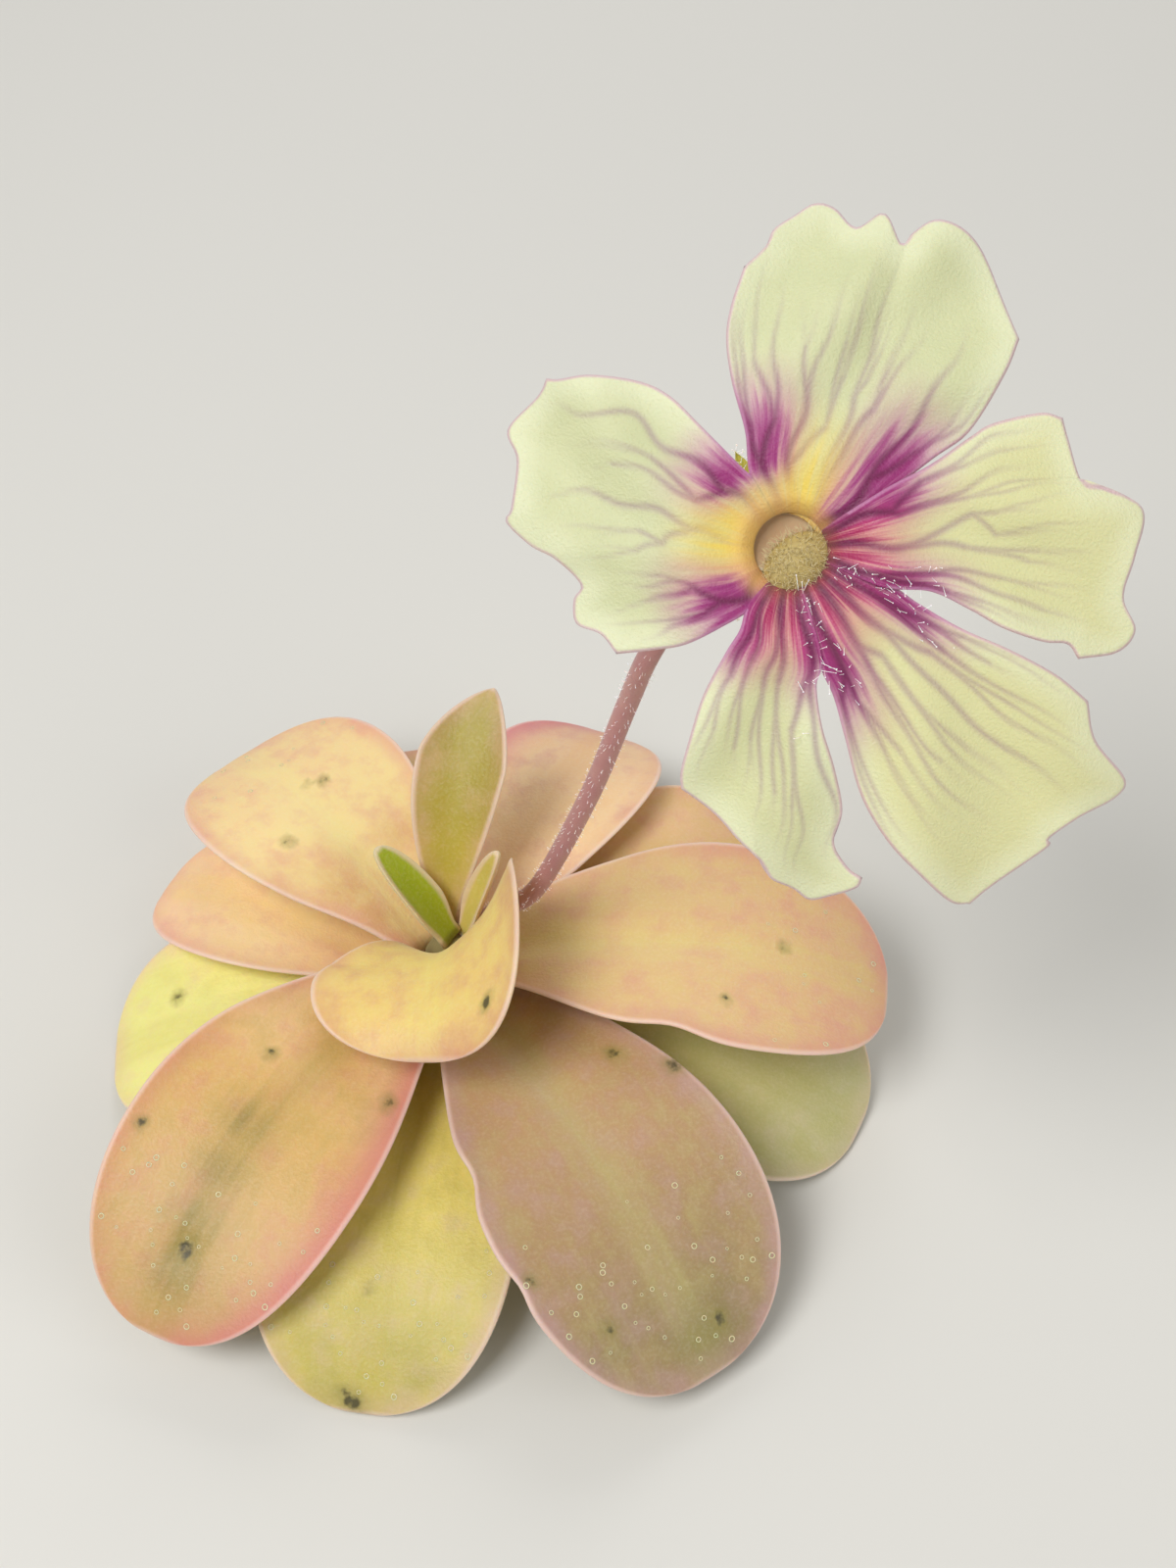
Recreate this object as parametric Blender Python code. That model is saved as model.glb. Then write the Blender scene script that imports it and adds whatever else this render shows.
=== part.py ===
"""A butterwort in flower: a mounded rosette of fleshy leaves on a short crown, and one
five-lobed flower on a leafless stalk. Lengths are in millimetres until a mesh is made.

The crown stands at the origin on the surface z = 0. +X is to the right and +Y to the back."""

import math

import bmesh
import bpy
import numpy as np
from mathutils import Vector

METRES_PER_MM = 0.001

# Driving dimensions
CROWN_HEIGHT = 12.0
CROWN_FOOT_RADIUS = 5.0
CROWN_TOP_RADIUS = 1.5
SEAT_GAP = 0.3
LEAF_THICKNESS = 1.3
RIM_THICKNESS = 0.6
SCAPE_RADIUS = 0.95
SCAPE_TOP_RADIUS = 0.8
THROAT = np.array((26.8, -16.7, 79.7))
FLOWER_FACING = (-0.10, -0.73, 0.68)
FLOWER_TURN = 35.0
LOBE_THICKNESS = 0.7
LOBE_SPREAD = 1.0
SHOULDER_HEIGHT = 0.8
LOBE_SWEEP = 3.2
WAVE_HEIGHT = 0.55
TUBE_LENGTH = 6.0
TUBE_WALL = 0.6
MOUTH_RADIUS = 3.1
TUBE_END_RADIUS = 2.6
PALATE_PLACE = (190, 1.2, -1.55)
PALATE_SPAN = (2.3, 1.7, 1.2)
SPUR_LENGTH = 15.0
SPUR_RADII = (1.25, 0.5)
SEPAL_LENGTH = 6.6
SEPAL_WIDTH = 2.3
CUP_DEPTH = 2.4
# Sepals: the bearing of each round the flower and its length as a share of the whole
SEPALS = ((-8, 1.05), (60, 1.0), (-60, 1.0), (108, 0.76), (-146, 1.05))

# Finishes: colour, roughness
FINISHES = {
    "leaf_blush": ((0.70, 0.46, 0.28), 0.45),
    "leaf_yellow": ((0.62, 0.60, 0.22), 0.45),
    "leaf_young": ((0.33, 0.50, 0.02), 0.4),
    "crown_tissue": ((0.55, 0.50, 0.30), 0.6),
    "scape_skin": ((0.38, 0.20, 0.19), 0.5),
    "petal_cream": ((0.80, 0.82, 0.55), 0.5),
    "sepal_green": ((0.42, 0.42, 0.12), 0.5),
    "pistil_green": ((0.50, 0.55, 0.20), 0.5),
    "anther_cream": ((0.80, 0.72, 0.42), 0.6),
}

# Leaves from the oldest and lowest to the youngest. azimuth is the way the leaf points in plan
# and bend how far it swings sideways by its tip, in degrees. rise, crest and droop are the
# slopes of the midrib at its base, middle and tip, in degrees. roll tips the blade about its
# midrib and cup is the blade's curve across, in 1/mm. widest is where along its length the blade
# is broadest, neck how wide its base is for that, and blunt how round its tip is. A dent is a
# side, a place along the leaf, a share of the width and a spread. A raised margin is a side, a
# height, a place and a spread. Side 1 is the left margin, seen from the crown.
LEAVES = (
    dict(name="leaf_back_low_left", azimuth=134, seat=1.6, length=26, width=16, rise=23, crest=4.2,
         droop=-34),
    dict(name="leaf_back_low_right", azimuth=75, seat=2.7, length=26, width=17, rise=20.5, crest=3.8,
         droop=-34),
    dict(name="leaf_left_low", azimuth=195, seat=2.2, length=31, width=22, rise=24.8, crest=3.3,
         droop=-38, bend=-8.5, finish="leaf_yellow"),
    dict(name="leaf_right_low", azimuth=-19, seat=2.2, length=40, width=23, rise=22.5, crest=5.9,
         droop=-36, bend=-3, roll=10, finish="leaf_yellow"),
    dict(name="leaf_front_low", azimuth=-98, seat=3.6, length=41.7, width=24, rise=25.6, crest=4.2,
         droop=-44, finish="leaf_yellow"),
    dict(name="leaf_back_right_low", azimuth=26, seat=4.7, length=36, width=20, rise=28.2, crest=6.2,
         droop=-35, bend=-1),
    dict(name="leaf_left_middle", azimuth=163.5, seat=4.7, length=29.5, width=16.2, rise=27.5, crest=9,
         droop=-35, bend=-9, roll=-3),
    dict(name="leaf_front_right", azimuth=-59, seat=6.0, length=47.2, width=25.7, rise=30, crest=1,
         droop=-45, bend=1, roll=-1.5, widest=0.64, dents=((1, 0.46, 0.08, 0.05), (1, 0.68, 0.04, 0.04))),
    dict(name="leaf_back", azimuth=98, seat=6.0, length=25, width=16, rise=28.5, crest=11.5, droop=-24),
    dict(name="leaf_front_left", azimuth=-125.5, seat=8.3, length=45.6, width=22.8, rise=32.5, crest=0,
         droop=-46, bend=6, roll=-10, widest=0.6),
    dict(name="leaf_back_right", azimuth=59.5, seat=7.8, length=32, width=19, rise=31, crest=7.2,
         droop=-34, bend=2.5, roll=-4, widest=0.65),
    dict(name="leaf_right", azimuth=-6.5, seat=9.7, length=42.7, width=23.7, rise=27.5, crest=6,
         droop=-33, bend=-2, widest=0.61, dents=((1, 0.50, 0.10, 0.08),)),
    dict(name="leaf_back_left", azimuth=135, seat=9.6, length=32.4, width=23, rise=32, crest=8.5,
         droop=-32, bend=-1, roll=1.5),
    dict(name="leaf_front_small", azimuth=-96, seat=11.6, length=20, width=22, rise=80, crest=24,
         droop=-36, bend=7.5, roll=20, cup=0.04, widest=0.59, raised=(-1, 5.0, 0.3, 0.3),
         dents=((-1, 0.3, -0.1, 0.2),)),
    dict(name="leaf_upright", azimuth=90, seat=11.5, length=24.7, width=9.4, rise=78, crest=35,
         droop=28, bend=-30, roll=3, cup=0.10, widest=0.68, neck=0.25, blunt=1.35,
         finish="leaf_yellow"),
    dict(name="leaf_young", azimuth=150, start=(0.1, 0.2, 12.8), length=11.5, width=4.2, rise=52,
         crest=48, droop=44, cup=0.2, channel=0.3, neck=0.7, widest=0.35, thickness=0.8, rows=8,
         finish="leaf_young"),
    dict(name="leaf_young_narrow", azimuth=38, start=(1.7, 1.1, 12.1), length=10, width=2.6, rise=66,
         crest=62, droop=60, cup=0.3, channel=0.3, neck=0.8, widest=0.4, thickness=0.8, rows=8,
         finish="leaf_yellow"),
)

# The scape's route from the crown to the calyx, which it meets along the flower's axis.
SCAPE_ROUTE = ((3.5, 2.1, 12.2), (5.5, 1.6, 15.0), (9.1, -0.1, 20.5), (14.0, -3.7, 38.3),
               (17.1, -6.9, 53.8), (18.8, -9.8, 63.1), (22.8, -7.7, 69.8), (25.6, -6.4, 73.0))

# The lobes of the flower: the outline of each, in millimetres right of and above the throat
# as one faces the flower, from its base round its tip and back. The first and last point lie
# where it meets its neighbours, and corners are the two points where its sides meet its outer
# edge. lift is how far its base stands forward of the others.
LOBES = (
    dict(name="top", lift=-0.25, corners=(5, 18), outline=(
        (-2.2, 4.6), (-2.6, 7.6), (-3.5, 10.8), (-3.9, 13.6), (-3.6, 15.8), (-2.8, 18.3), (-1.4, 19.7),
        (-0.9, 20.8), (0.5, 21.8), (1.8, 22.6), (3.1, 22.3), (4.5, 20.9), (6.3, 21.8), (7.4, 19.7),
        (8.2, 20.5), (9.7, 21.3), (11.7, 20.5), (13.2, 18.4), (15.1, 13.5), (14.1, 11.1), (12.0, 7.6),
        (9.5, 5.7), (5.2, 2.4))),
    dict(name="left", lift=0.0, corners=(4, 16), outline=(
        (-2.0, -3.9), (-3.9, -5.1), (-6.3, -6.3), (-8.4, -6.7), (-11.0, -7.0), (-12.1, -5.7),
        (-13.8, -5.0), (-14.0, -3.4), (-13.5, -2.4), (-15.2, -0.7), (-16.9, 0.2), (-18.6, 1.8),
        (-18.2, 2.7), (-17.9, 5.9), (-18.6, 8.0), (-16.5, 10.2), (-15.9, 11.3), (-15.0, 11.2),
        (-12.8, 11.4), (-9.7, 11.0), (-7.6, 10.0), (-5.5, 8.0), (-2.8, 5.3), (-2.0, 4.5))),
    dict(name="right", lift=0.45, corners=(6, 15), outline=(
        (3.9, 2.2), (6.6, 3.9), (9.4, 5.4), (12.0, 7.2), (13.5, 8.1), (16.6, 8.8), (18.1, 8.5),
        (18.5, 7.2), (19.5, 4.3), (21.0, 3.9), (23.6, 2.6), (23.1, -0.5), (22.5, -3.2), (23.5, -5.4),
        (22.4, -6.9), (19.6, -7.3), (18.8, -6.3), (17.1, -6.1), (14.4, -5.2), (12.2, -4.0),
        (9.6, -2.8), (6.5, -2.5))),
    dict(name="bottom_right", lift=-0.1, corners=(5, 13), outline=(
        (6.7, -2.2), (8.9, -3.6), (11.7, -5.2), (14.9, -6.6), (18.1, -8.3), (20.4, -10.1),
        (21.1, -12.8), (23.5, -15.6), (23.0, -16.9), (20.3, -18.3), (18.4, -19.7), (18.3, -20.4),
        (14.6, -23.4), (13.3, -24.6), (11.8, -24.3), (9.4, -22.0), (7.2, -19.6), (5.4, -16.5),
        (4.2, -12.4), (3.4, -9.7), (2.3, -7.2))),
    dict(name="bottom_left", lift=0.1, corners=(7, 16), outline=(
        (2.6, -7.1), (2.3, -9.0), (2.7, -11.7), (3.6, -14.6), (4.2, -17.6), (3.7, -19.9), (4.7, -21.7),
        (5.7, -22.4), (5.3, -23.2), (3.5, -23.9), (2.1, -24.2), (1.0, -23.4), (-0.5, -22.6),
        (-1.3, -21.2), (-2.9, -19.6), (-4.4, -18.0), (-6.7, -16.2), (-6.7, -14.9), (-6.1, -12.6),
        (-5.2, -9.7), (-3.7, -6.8), (-2.8, -5.3), (-2.3, -3.7))),
)


def unit(vector):
    vector = np.asarray(vector, float)
    return vector / np.linalg.norm(vector)


def finish(name):
    """The named finish as a Principled material, made once."""
    material = bpy.data.materials.get(name)
    if material is None:
        colour, roughness = FINISHES[name]
        material = bpy.data.materials.new(name)
        material.use_nodes = True
        shader = material.node_tree.nodes["Principled BSDF"]
        shader.inputs["Base Color"].default_value = (*colour, 1.0)
        shader.inputs["Roughness"].default_value = roughness
        shader.inputs["Metallic"].default_value = 0.0
    return material


def solid(name, points, faces, finish_name):
    """A named object from the points of a closed body in millimetres, its faces turned outwards."""
    mesh = bpy.data.meshes.new(name)
    mesh.from_pydata([Vector(p) * METRES_PER_MM for p in points], [], faces)
    shell = bmesh.new()
    shell.from_mesh(mesh)
    bmesh.ops.recalc_face_normals(shell, faces=shell.faces)
    shell.to_mesh(mesh)
    shell.free()
    mesh.materials.append(finish(finish_name))
    mesh.shade_smooth()
    mesh.set_sharp_from_angle(angle=math.radians(50))
    made = bpy.data.objects.new(name, mesh)
    bpy.context.scene.collection.objects.link(made)
    return made


def skinned(loops, closed=False):
    """Points and triangles of a closed skin over loops of equal length, which close into a
    ring or are capped at both ends. The two halves of a loop are split alike, so the two
    faces of a thin blade run alongside each other."""
    size = len(loops[0])
    rows = len(loops)
    points = [p for loop in loops for p in loop]
    faces = []
    for row in range(rows if closed else rows - 1):
        here, there = row * size, (row + 1) % rows * size
        for k in range(size):
            after = (k + 1) % size
            if k < size // 2:
                faces += [(here + k, there + after, here + after), (here + k, there + k, there + after)]
            else:
                faces += [(here + k, there + k, here + after), (here + after, there + k, there + after)]
    if not closed:
        for end in (0, (rows - 1) * size):
            for k in range(size // 2 - 1):
                a, b, c, d = end + k, end + k + 1, end + size - 2 - k, end + size - 1 - k
                faces += [(a, b, d), (b, c, d)] if end else [(a, d, b), (b, d, c)]
    return points, faces


def crown_radius(height):
    """The crown tapers from its foot to a blunt growing tip."""
    share = min(max(height / CROWN_HEIGHT, 0.0), 1.0)
    return CROWN_FOOT_RADIUS + (CROWN_TOP_RADIUS - CROWN_FOOT_RADIUS) * share ** 1.2


def crown():
    """The short stem, turned about its axis, cut flat below and domed above."""
    sides = 20
    heights = [0.0, 0.9, 3.5, 7.0, 10.0, 11.6, CROWN_HEIGHT]
    radii = [3.9] + [crown_radius(h) for h in heights[1:-1]] + [1.0]
    loops = []
    for height, radius in zip(heights, radii):
        angles = [2 * math.pi * k / sides for k in range(sides)]
        loops.append([(radius * math.cos(a), radius * math.sin(a), height) for a in angles])
    return solid("crown", *skinned(loops), "crown_tissue")


def half_width_share(t, widest, neck, blunt):
    """How wide a leaf is at t along it: a narrow base, broadest beyond the middle, a round tip."""
    if t < widest:
        return neck + (1 - neck) * math.sin(0.5 * math.pi * t / widest) ** 1.4
    return max(1 - ((t - widest) / (1 - widest)) ** blunt, 0.0) ** (1 / blunt)


def leaf_stations(rows, widest):
    """Places along a leaf, closer together towards its round tip."""
    base_rows = round(rows * 0.5)
    tip_rows = rows - base_rows
    stations = [widest * k / base_rows for k in range(base_rows)]
    for k in range(tip_rows):
        stations.append(widest + (1 - widest) * math.sin(0.5 * math.pi * k / tip_rows))
    stations.append(1 - 0.12 * (1 - stations[-1]))
    return stations


def leaf(name, azimuth, length, width, rise, crest, droop, seat=0.0, start=None, bend=0.0, roll=0.0,
         cup=0.012, channel=0.9, upturn=0.5, widest=0.62, neck=0.35, blunt=2.15, dents=(),
         raised=(1, 0.0, 0.5, 1.0), thickness=LEAF_THICKNESS, finish="leaf_blush", rows=13):
    """A fleshy leaf, lofted along its midrib. Its base end stands SEAT_GAP clear of the crown."""
    across = (-1.0, -0.86, -0.45, 0.0, 0.45, 0.86, 1.0)
    stations = leaf_stations(rows, widest)
    fine = 60
    heading = math.radians(azimuth)
    radius = crown_radius(seat) + SEAT_GAP + 0.5 * thickness * abs(math.sin(math.radians(rise)))
    if start is None:
        start = (radius * math.cos(heading), radius * math.sin(heading), seat)
    track = [np.array(start)]
    for k in range(fine):
        track.append(track[-1] + tangent_at((k + 0.5) / fine, azimuth, bend, rise, crest, droop)
                     * length / fine)
    track = np.array(track)
    loops = []
    for t in stations:
        centre = np.array([np.interp(t * fine, range(fine + 1), track[:, i]) for i in range(3)])
        along = tangent_at(t, azimuth, bend, rise, crest, droop)
        side = unit(np.cross(along, (0, 0, 1)))
        above = np.cross(side, along)
        lean = math.radians(roll * min(1.0, 2.5 * t))
        side, above = (side * math.cos(lean) - above * math.sin(lean),
                       above * math.cos(lean) + side * math.sin(lean))
        half = 0.5 * width * half_width_share(t, widest, neck, blunt)
        curve = cup + (0.16 - cup) * max(0.0, 1 - t / 0.35) ** 2
        top, bottom = [], []
        for u in across:
            narrowing = 1.0
            for dent_side, dent_at, depth, spread in dents:
                if dent_side * u > 0:
                    narrowing -= depth * math.exp(-((t - dent_at) / spread) ** 2)
            reach = u * half * narrowing
            angle = curve * reach
            out = math.sin(angle) / curve if abs(curve) > 1e-6 else reach
            lift = (1 - math.cos(angle)) / curve if abs(curve) > 1e-6 else 0.0
            lift -= channel * math.exp(-(reach / 2.2) ** 2) * max(0.0, 1 - t / 0.85)
            lift += upturn * abs(u) ** 6 * min(1.0, 3 * t, 2 * half / width)
            if raised[0] * u > 0:
                lift += raised[1] * u * u * math.exp(-((t - raised[2]) / raised[3]) ** 2)
            point = centre + side * out + above * lift
            outward = unit(above * math.cos(angle) - side * math.sin(angle))
            body = RIM_THICKNESS + (thickness - RIM_THICKNESS) * (1 - u * u) * (1 - 0.35 * t)
            top.append(point + outward * 0.5 * body)
            bottom.append(point - outward * 0.5 * body)
        loops.append(top + bottom[::-1])
    return solid(name, *skinned(loops), finish)


def tangent_at(t, azimuth, bend, rise, crest, droop):
    """The way a leaf's midrib runs at t along it."""
    slope = math.radians((1 - t) ** 2 * rise + 2 * t * (1 - t) * crest + t * t * droop)
    heading = math.radians(azimuth + bend * t)
    return np.array((math.cos(slope) * math.cos(heading), math.cos(slope) * math.sin(heading),
                     math.sin(slope)))


def smooth_path(points, samples):
    """Evenly numbered places and directions along a Catmull-Rom curve through the points."""
    knots = np.array(points, float)
    knots = np.vstack([2 * knots[0] - knots[1], knots, 2 * knots[-1] - knots[-2]])
    places = []
    for k in range(samples):
        where = k / (samples - 1) * (len(points) - 1)
        i = min(int(where), len(points) - 2)
        t = where - i
        a, b, c, d = knots[i:i + 4]
        places.append(0.5 * (2 * b + (c - a) * t + (2 * a - 5 * b + 4 * c - d) * t * t
                             + (3 * b - a - 3 * c + d) * t ** 3))
    places = np.array(places)
    return places, np.gradient(places, axis=0)


def round_loops(places, directions, radii, sides):
    """Circles square to a path, one at each of its places, without twist between them."""
    loops = []
    across = np.cross(directions[0], (0.3, 1.0, 0.1))
    for place, direction, radius in zip(places, directions, radii):
        along = unit(direction)
        across = unit(across - along * (across @ along))
        other = np.cross(along, across)
        turns = [2 * math.pi * k / sides for k in range(sides)]
        loops.append([place + radius * (across * math.cos(a) - other * math.sin(a)) for a in turns])
    return loops


def flower_axes():
    """The flower's right, up and forward as one faces it."""
    forward = unit(FLOWER_FACING)
    right = unit(np.array((1.0, 0.0, 0.0)) - forward * forward[0])
    return right, np.cross(forward, right), forward


def in_flower(x, y, z):
    """The point x to the right of the throat, y above it and z in front of it."""
    right, up, forward = flower_axes()
    return THROAT + right * x + up * y + forward * z


def at_bearing(degrees, radius, z):
    """A point round the flower's axis. 0 is the middle of the upper lip, anticlockwise as faced."""
    angle = math.radians(90 + FLOWER_TURN + degrees)
    return in_flower(radius * math.cos(angle), radius * math.sin(angle), z)


def scape():
    """The leafless stalk, from the crown's side up to the flower, which it meets along its axis."""
    route = list(SCAPE_ROUTE) + [in_flower(0, 0, -TUBE_LENGTH - CUP_DEPTH - SEAT_GAP)]
    places, directions = smooth_path(route, 33)
    directions[-1] = unit(FLOWER_FACING)
    radii = np.linspace(SCAPE_RADIUS, SCAPE_TOP_RADIUS, len(places))
    return solid("scape", *skinned(round_loops(places, directions, radii, 10)), "scape_skin")


def lobe_relief(x, y, lift):
    """How far forward of the face plane a lobe lies: dipping into the throat, raised round it and
    swept back beyond, in shallow waves."""
    reach = math.hypot(x, y)
    bearing = math.atan2(y, x)
    shoulder = SHOULDER_HEIGHT * math.exp(-((reach - 6.2) / 2.4) ** 2)
    sweep = -LOBE_SWEEP * max(0.0, (reach - 7.0) / 16.0) ** 2
    waves = WAVE_HEIGHT * min(1.0, max(0.0, (reach - 6.0) / 10.0)) * math.sin(11 * bearing + 0.35 * reach)
    return -0.15 + shoulder + sweep + waves + lift * math.exp(-((reach - 6.0) / 6.0) ** 2)


def at_shares(points, shares):
    """Places at the given shares of the length of a smooth curve through the points."""
    fine, _ = smooth_path([(*p, 0.0) for p in points], 16 * len(points))
    run = np.concatenate(([0.0], np.cumsum(np.linalg.norm(np.diff(fine, axis=0), axis=1))))
    return [np.array([np.interp(share * run[-1], run, fine[:, i]) for i in (0, 1)])
            for share in shares]


def lobe(name, outline, corners, lift):
    """One lobe as a thin solid, a patch between the mouth of the tube, the lobe's two sides and
    its outer edge."""
    rows = np.linspace(0, 1, 10)
    columns = np.linspace(0, 1, 15)
    outline = [(x * LOBE_SPREAD, y * LOBE_SPREAD) for x, y in outline]
    root_radius = MOUTH_RADIUS - 0.5 * TUBE_WALL
    start, end = (math.atan2(y, x) for x, y in (outline[0], outline[-1]))
    end += 2 * math.pi * round((start - end) / (2 * math.pi))
    roots = [np.array((math.cos(a), math.sin(a))) * root_radius
             for a in start + (end - start) * columns]
    near = at_shares([roots[0], *outline[:corners[0] + 1]], rows)
    far = at_shares([roots[-1], *outline[:corners[1] - 1:-1]], rows)
    edge = at_shares(outline[corners[0]:corners[1] + 1], columns)
    forward = unit(FLOWER_FACING)
    loops = []
    for v, near_place, far_place in zip(rows, near, far):
        front, back = [], []
        for u, root, outer in zip(columns, roots, edge):
            flat = ((1 - v) * root + v * outer + (1 - u) * near_place + u * far_place
                    - (1 - v) * ((1 - u) * roots[0] + u * roots[-1])
                    - v * ((1 - u) * edge[0] + u * edge[-1]))
            point = in_flower(*flat, lobe_relief(*flat, lift))
            front.append(point)
            back.append(point - forward * LOBE_THICKNESS)
        loops.append(front + back[::-1])
    return solid("lobe_" + name, *skinned(loops), "petal_cream")


def tube():
    """The corolla's short tube, open at the mouth and at the back."""
    sides = 24
    stations = ((-0.1, MOUTH_RADIUS), (-0.8, MOUTH_RADIUS - 0.1), (-3.0, 2.75),
                (-TUBE_LENGTH, TUBE_END_RADIUS))
    loops = []
    for k in range(sides):
        turn = 360.0 * k / sides
        outer = [at_bearing(turn, radius, z) for z, radius in stations]
        inner = [at_bearing(turn, radius - TUBE_WALL, z) for z, radius in stations]
        loops.append(outer + inner[::-1])
    return solid("tube", *skinned(loops, closed=True), "petal_cream")


def palate():
    """The swollen floor of the mouth, a low mound that leans out over the lower lip."""
    bearing, out, depth = PALATE_PLACE
    wide, high, deep = PALATE_SPAN
    across = at_bearing(bearing + 90, 1, 0) - THROAT
    outward = at_bearing(bearing, 1, 0) - THROAT
    turns = [2 * math.pi * k / 14 for k in range(14)]
    loops = []
    for share in np.linspace(-0.96, 0.96, 9):
        ring = math.sqrt(1 - share * share)
        centre = at_bearing(bearing, out, depth + deep * share)
        loops.append([centre + ring * (across * wide * math.cos(a) + outward * high * math.sin(a))
                      for a in turns])
    return solid("palate", *skinned(loops), "petal_cream")


def spur():
    """The solid spur that hangs back and down from the underside of the tube."""
    root = [at_bearing(180, 1.9 + 0.9 * k, -4.0 - 0.45 * k) for k in range(2)]
    down = unit(in_flower(0, 0, -0.75) - THROAT - 0.65 * unit(at_bearing(0, 1, 0) - THROAT))
    sag = np.array((0.0, 0.0, -1.4))
    route = root + [root[1] + down * SPUR_LENGTH * t + sag * t * t for t in (0.33, 0.67, 1.0)]
    places, directions = smooth_path(route, 14)
    radii = np.interp(np.linspace(0, 1, 14), (0, 0.9, 1.0), (*SPUR_RADII, 0.3))
    return solid("spur", *skinned(round_loops(places, directions, radii, 10)), "petal_cream")


def joined(name, pieces):
    """The pieces as one closed body, by a single Boolean union that is applied. Every piece is a
    closed body itself, so the union can use the solver for closed bodies, which leaves no gaps."""
    base, others = pieces[0], pieces[1:]
    group = bpy.data.collections.new(name + "_parts")
    for piece in others:
        group.objects.link(piece)
    union = base.modifiers.new("union", "BOOLEAN")
    union.operation = "UNION"
    union.solver = "MANIFOLD"
    union.operand_type = "COLLECTION"
    union.collection = group
    graph = bpy.context.evaluated_depsgraph_get()
    mesh = bpy.data.meshes.new_from_object(base.evaluated_get(graph))
    finishes = base.data.materials[:]
    mesh.name = name
    for piece in others:
        bpy.data.objects.remove(piece)
    bpy.data.collections.remove(group)
    base.modifiers.clear()
    base.data = mesh
    base.name = name
    if not mesh.materials:
        mesh.materials.append(finishes[0])
    return base


def calyx():
    """The green cup behind the flower with its five pointed sepals."""
    front, back = -TUBE_LENGTH - SEAT_GAP, -TUBE_LENGTH - CUP_DEPTH
    turns = [360.0 * k / 16 for k in range(16)]
    loops = []
    for z, radius in ((front, 2.3), (front - 0.6, TUBE_END_RADIUS), (front - 1.4, 1.9), (back, 1.0)):
        loops.append([at_bearing(turn, radius, z) for turn in turns])
    pieces = [solid("cup", *skinned(loops), "sepal_green")]
    for bearing, share in SEPALS:
        pieces.append(sepal(bearing, share, front - 0.9))
    return joined("calyx", pieces)


def sepal(bearing, share, root_z):
    """One sepal, splayed out and forward from the rim of the cup."""
    loops = []
    across = unit(at_bearing(bearing + 90, 1, 0) - THROAT)
    for t in np.linspace(0.0, 0.97, 8):
        centre_radius = 1.6 + 0.8 * SEPAL_LENGTH * share * t
        centre_z = root_z + SEPAL_LENGTH * share * (0.25 * t + 0.32 * t * t)
        centre = at_bearing(bearing, centre_radius, centre_z)
        half = 0.5 * SEPAL_WIDTH * (0.75 + 0.5 * t) * (1 - t ** 2.4)
        outward = unit(at_bearing(bearing, 0.55, -0.83) - THROAT)
        front = [centre + across * half * u - outward * 0.25 * u * u for u in (-1, -0.5, 0, 0.5, 1)]
        rear = [p + outward * 0.65 for p in front]
        loops.append(front + rear[::-1])
    return solid("sepal", *skinned(loops), "sepal_green")


def pistil():
    """The round ovary on its seat in the tube, and the stigma's flap in front of it."""
    loops = []
    turns = [360.0 * k / 12 for k in range(12)]
    seat = -TUBE_LENGTH
    for z, radius in ((0.0, 0.45), (0.35, 0.75), (0.9, 0.85), (1.5, 0.62), (1.9, 0.35), (2.3, 0.3)):
        loops.append([at_bearing(turn, radius, seat + z) for turn in turns])
    for z, radius in ((2.45, 0.75), (2.75, 0.8), (2.9, 0.5)):
        loops.append([at_bearing(turn, radius, seat + z) for turn in turns])
    return solid("pistil", *skinned(loops), "pistil_green")


def stamen(name, bearing):
    """A short arched filament with a round anther, beside the ovary."""
    route = [at_bearing(bearing, radius, -TUBE_LENGTH + z)
             for radius, z in ((1.4, 0.1), (1.42, 1.0), (1.3, 2.0))]
    places, directions = smooth_path(route, 9)
    radii = (0.22, 0.22, 0.22, 0.22, 0.22, 0.32, 0.4, 0.34, 0.18)
    return solid(name, *skinned(round_loops(places, directions, radii, 8)), "anther_cream")


for old in list(bpy.data.objects):
    bpy.data.objects.remove(old)
crown()
for recipe in LEAVES:
    leaf(**recipe)
scape()
joined("corolla", [tube(), palate(), spur()] + [lobe(**recipe) for recipe in LOBES])
calyx()
pistil()
stamen("stamen_left", 75)
stamen("stamen_right", -75)
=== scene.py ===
"""The looks of a butterwort in flower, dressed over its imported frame. The sections follow the
plant as it grows: crown, leaves, dew, scape, calyx, then the flower from its tube to its lobes.
Lengths are in millimetres until a mesh is made, and the frame is in metres."""
import math

import bmesh
import bpy
import numpy as np
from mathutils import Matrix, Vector


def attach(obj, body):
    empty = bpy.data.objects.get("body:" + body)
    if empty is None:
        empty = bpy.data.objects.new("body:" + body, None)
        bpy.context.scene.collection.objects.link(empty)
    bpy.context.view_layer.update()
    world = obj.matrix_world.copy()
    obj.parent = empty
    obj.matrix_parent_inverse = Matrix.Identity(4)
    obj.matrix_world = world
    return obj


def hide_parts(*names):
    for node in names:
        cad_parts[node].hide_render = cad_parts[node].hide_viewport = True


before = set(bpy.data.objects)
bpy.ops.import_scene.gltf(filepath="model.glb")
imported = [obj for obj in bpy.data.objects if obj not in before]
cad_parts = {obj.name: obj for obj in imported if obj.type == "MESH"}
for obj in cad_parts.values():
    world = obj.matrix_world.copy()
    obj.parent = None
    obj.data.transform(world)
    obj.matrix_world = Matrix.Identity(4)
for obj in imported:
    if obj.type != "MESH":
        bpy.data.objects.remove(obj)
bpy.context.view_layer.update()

# The studio. A plain pale floor of matt card under soft light. The camera stands in front of the
# plant, tipped fifty degrees below level, with the flower much nearer to it than the leaves.
METRES_PER_MM = 0.001
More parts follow.
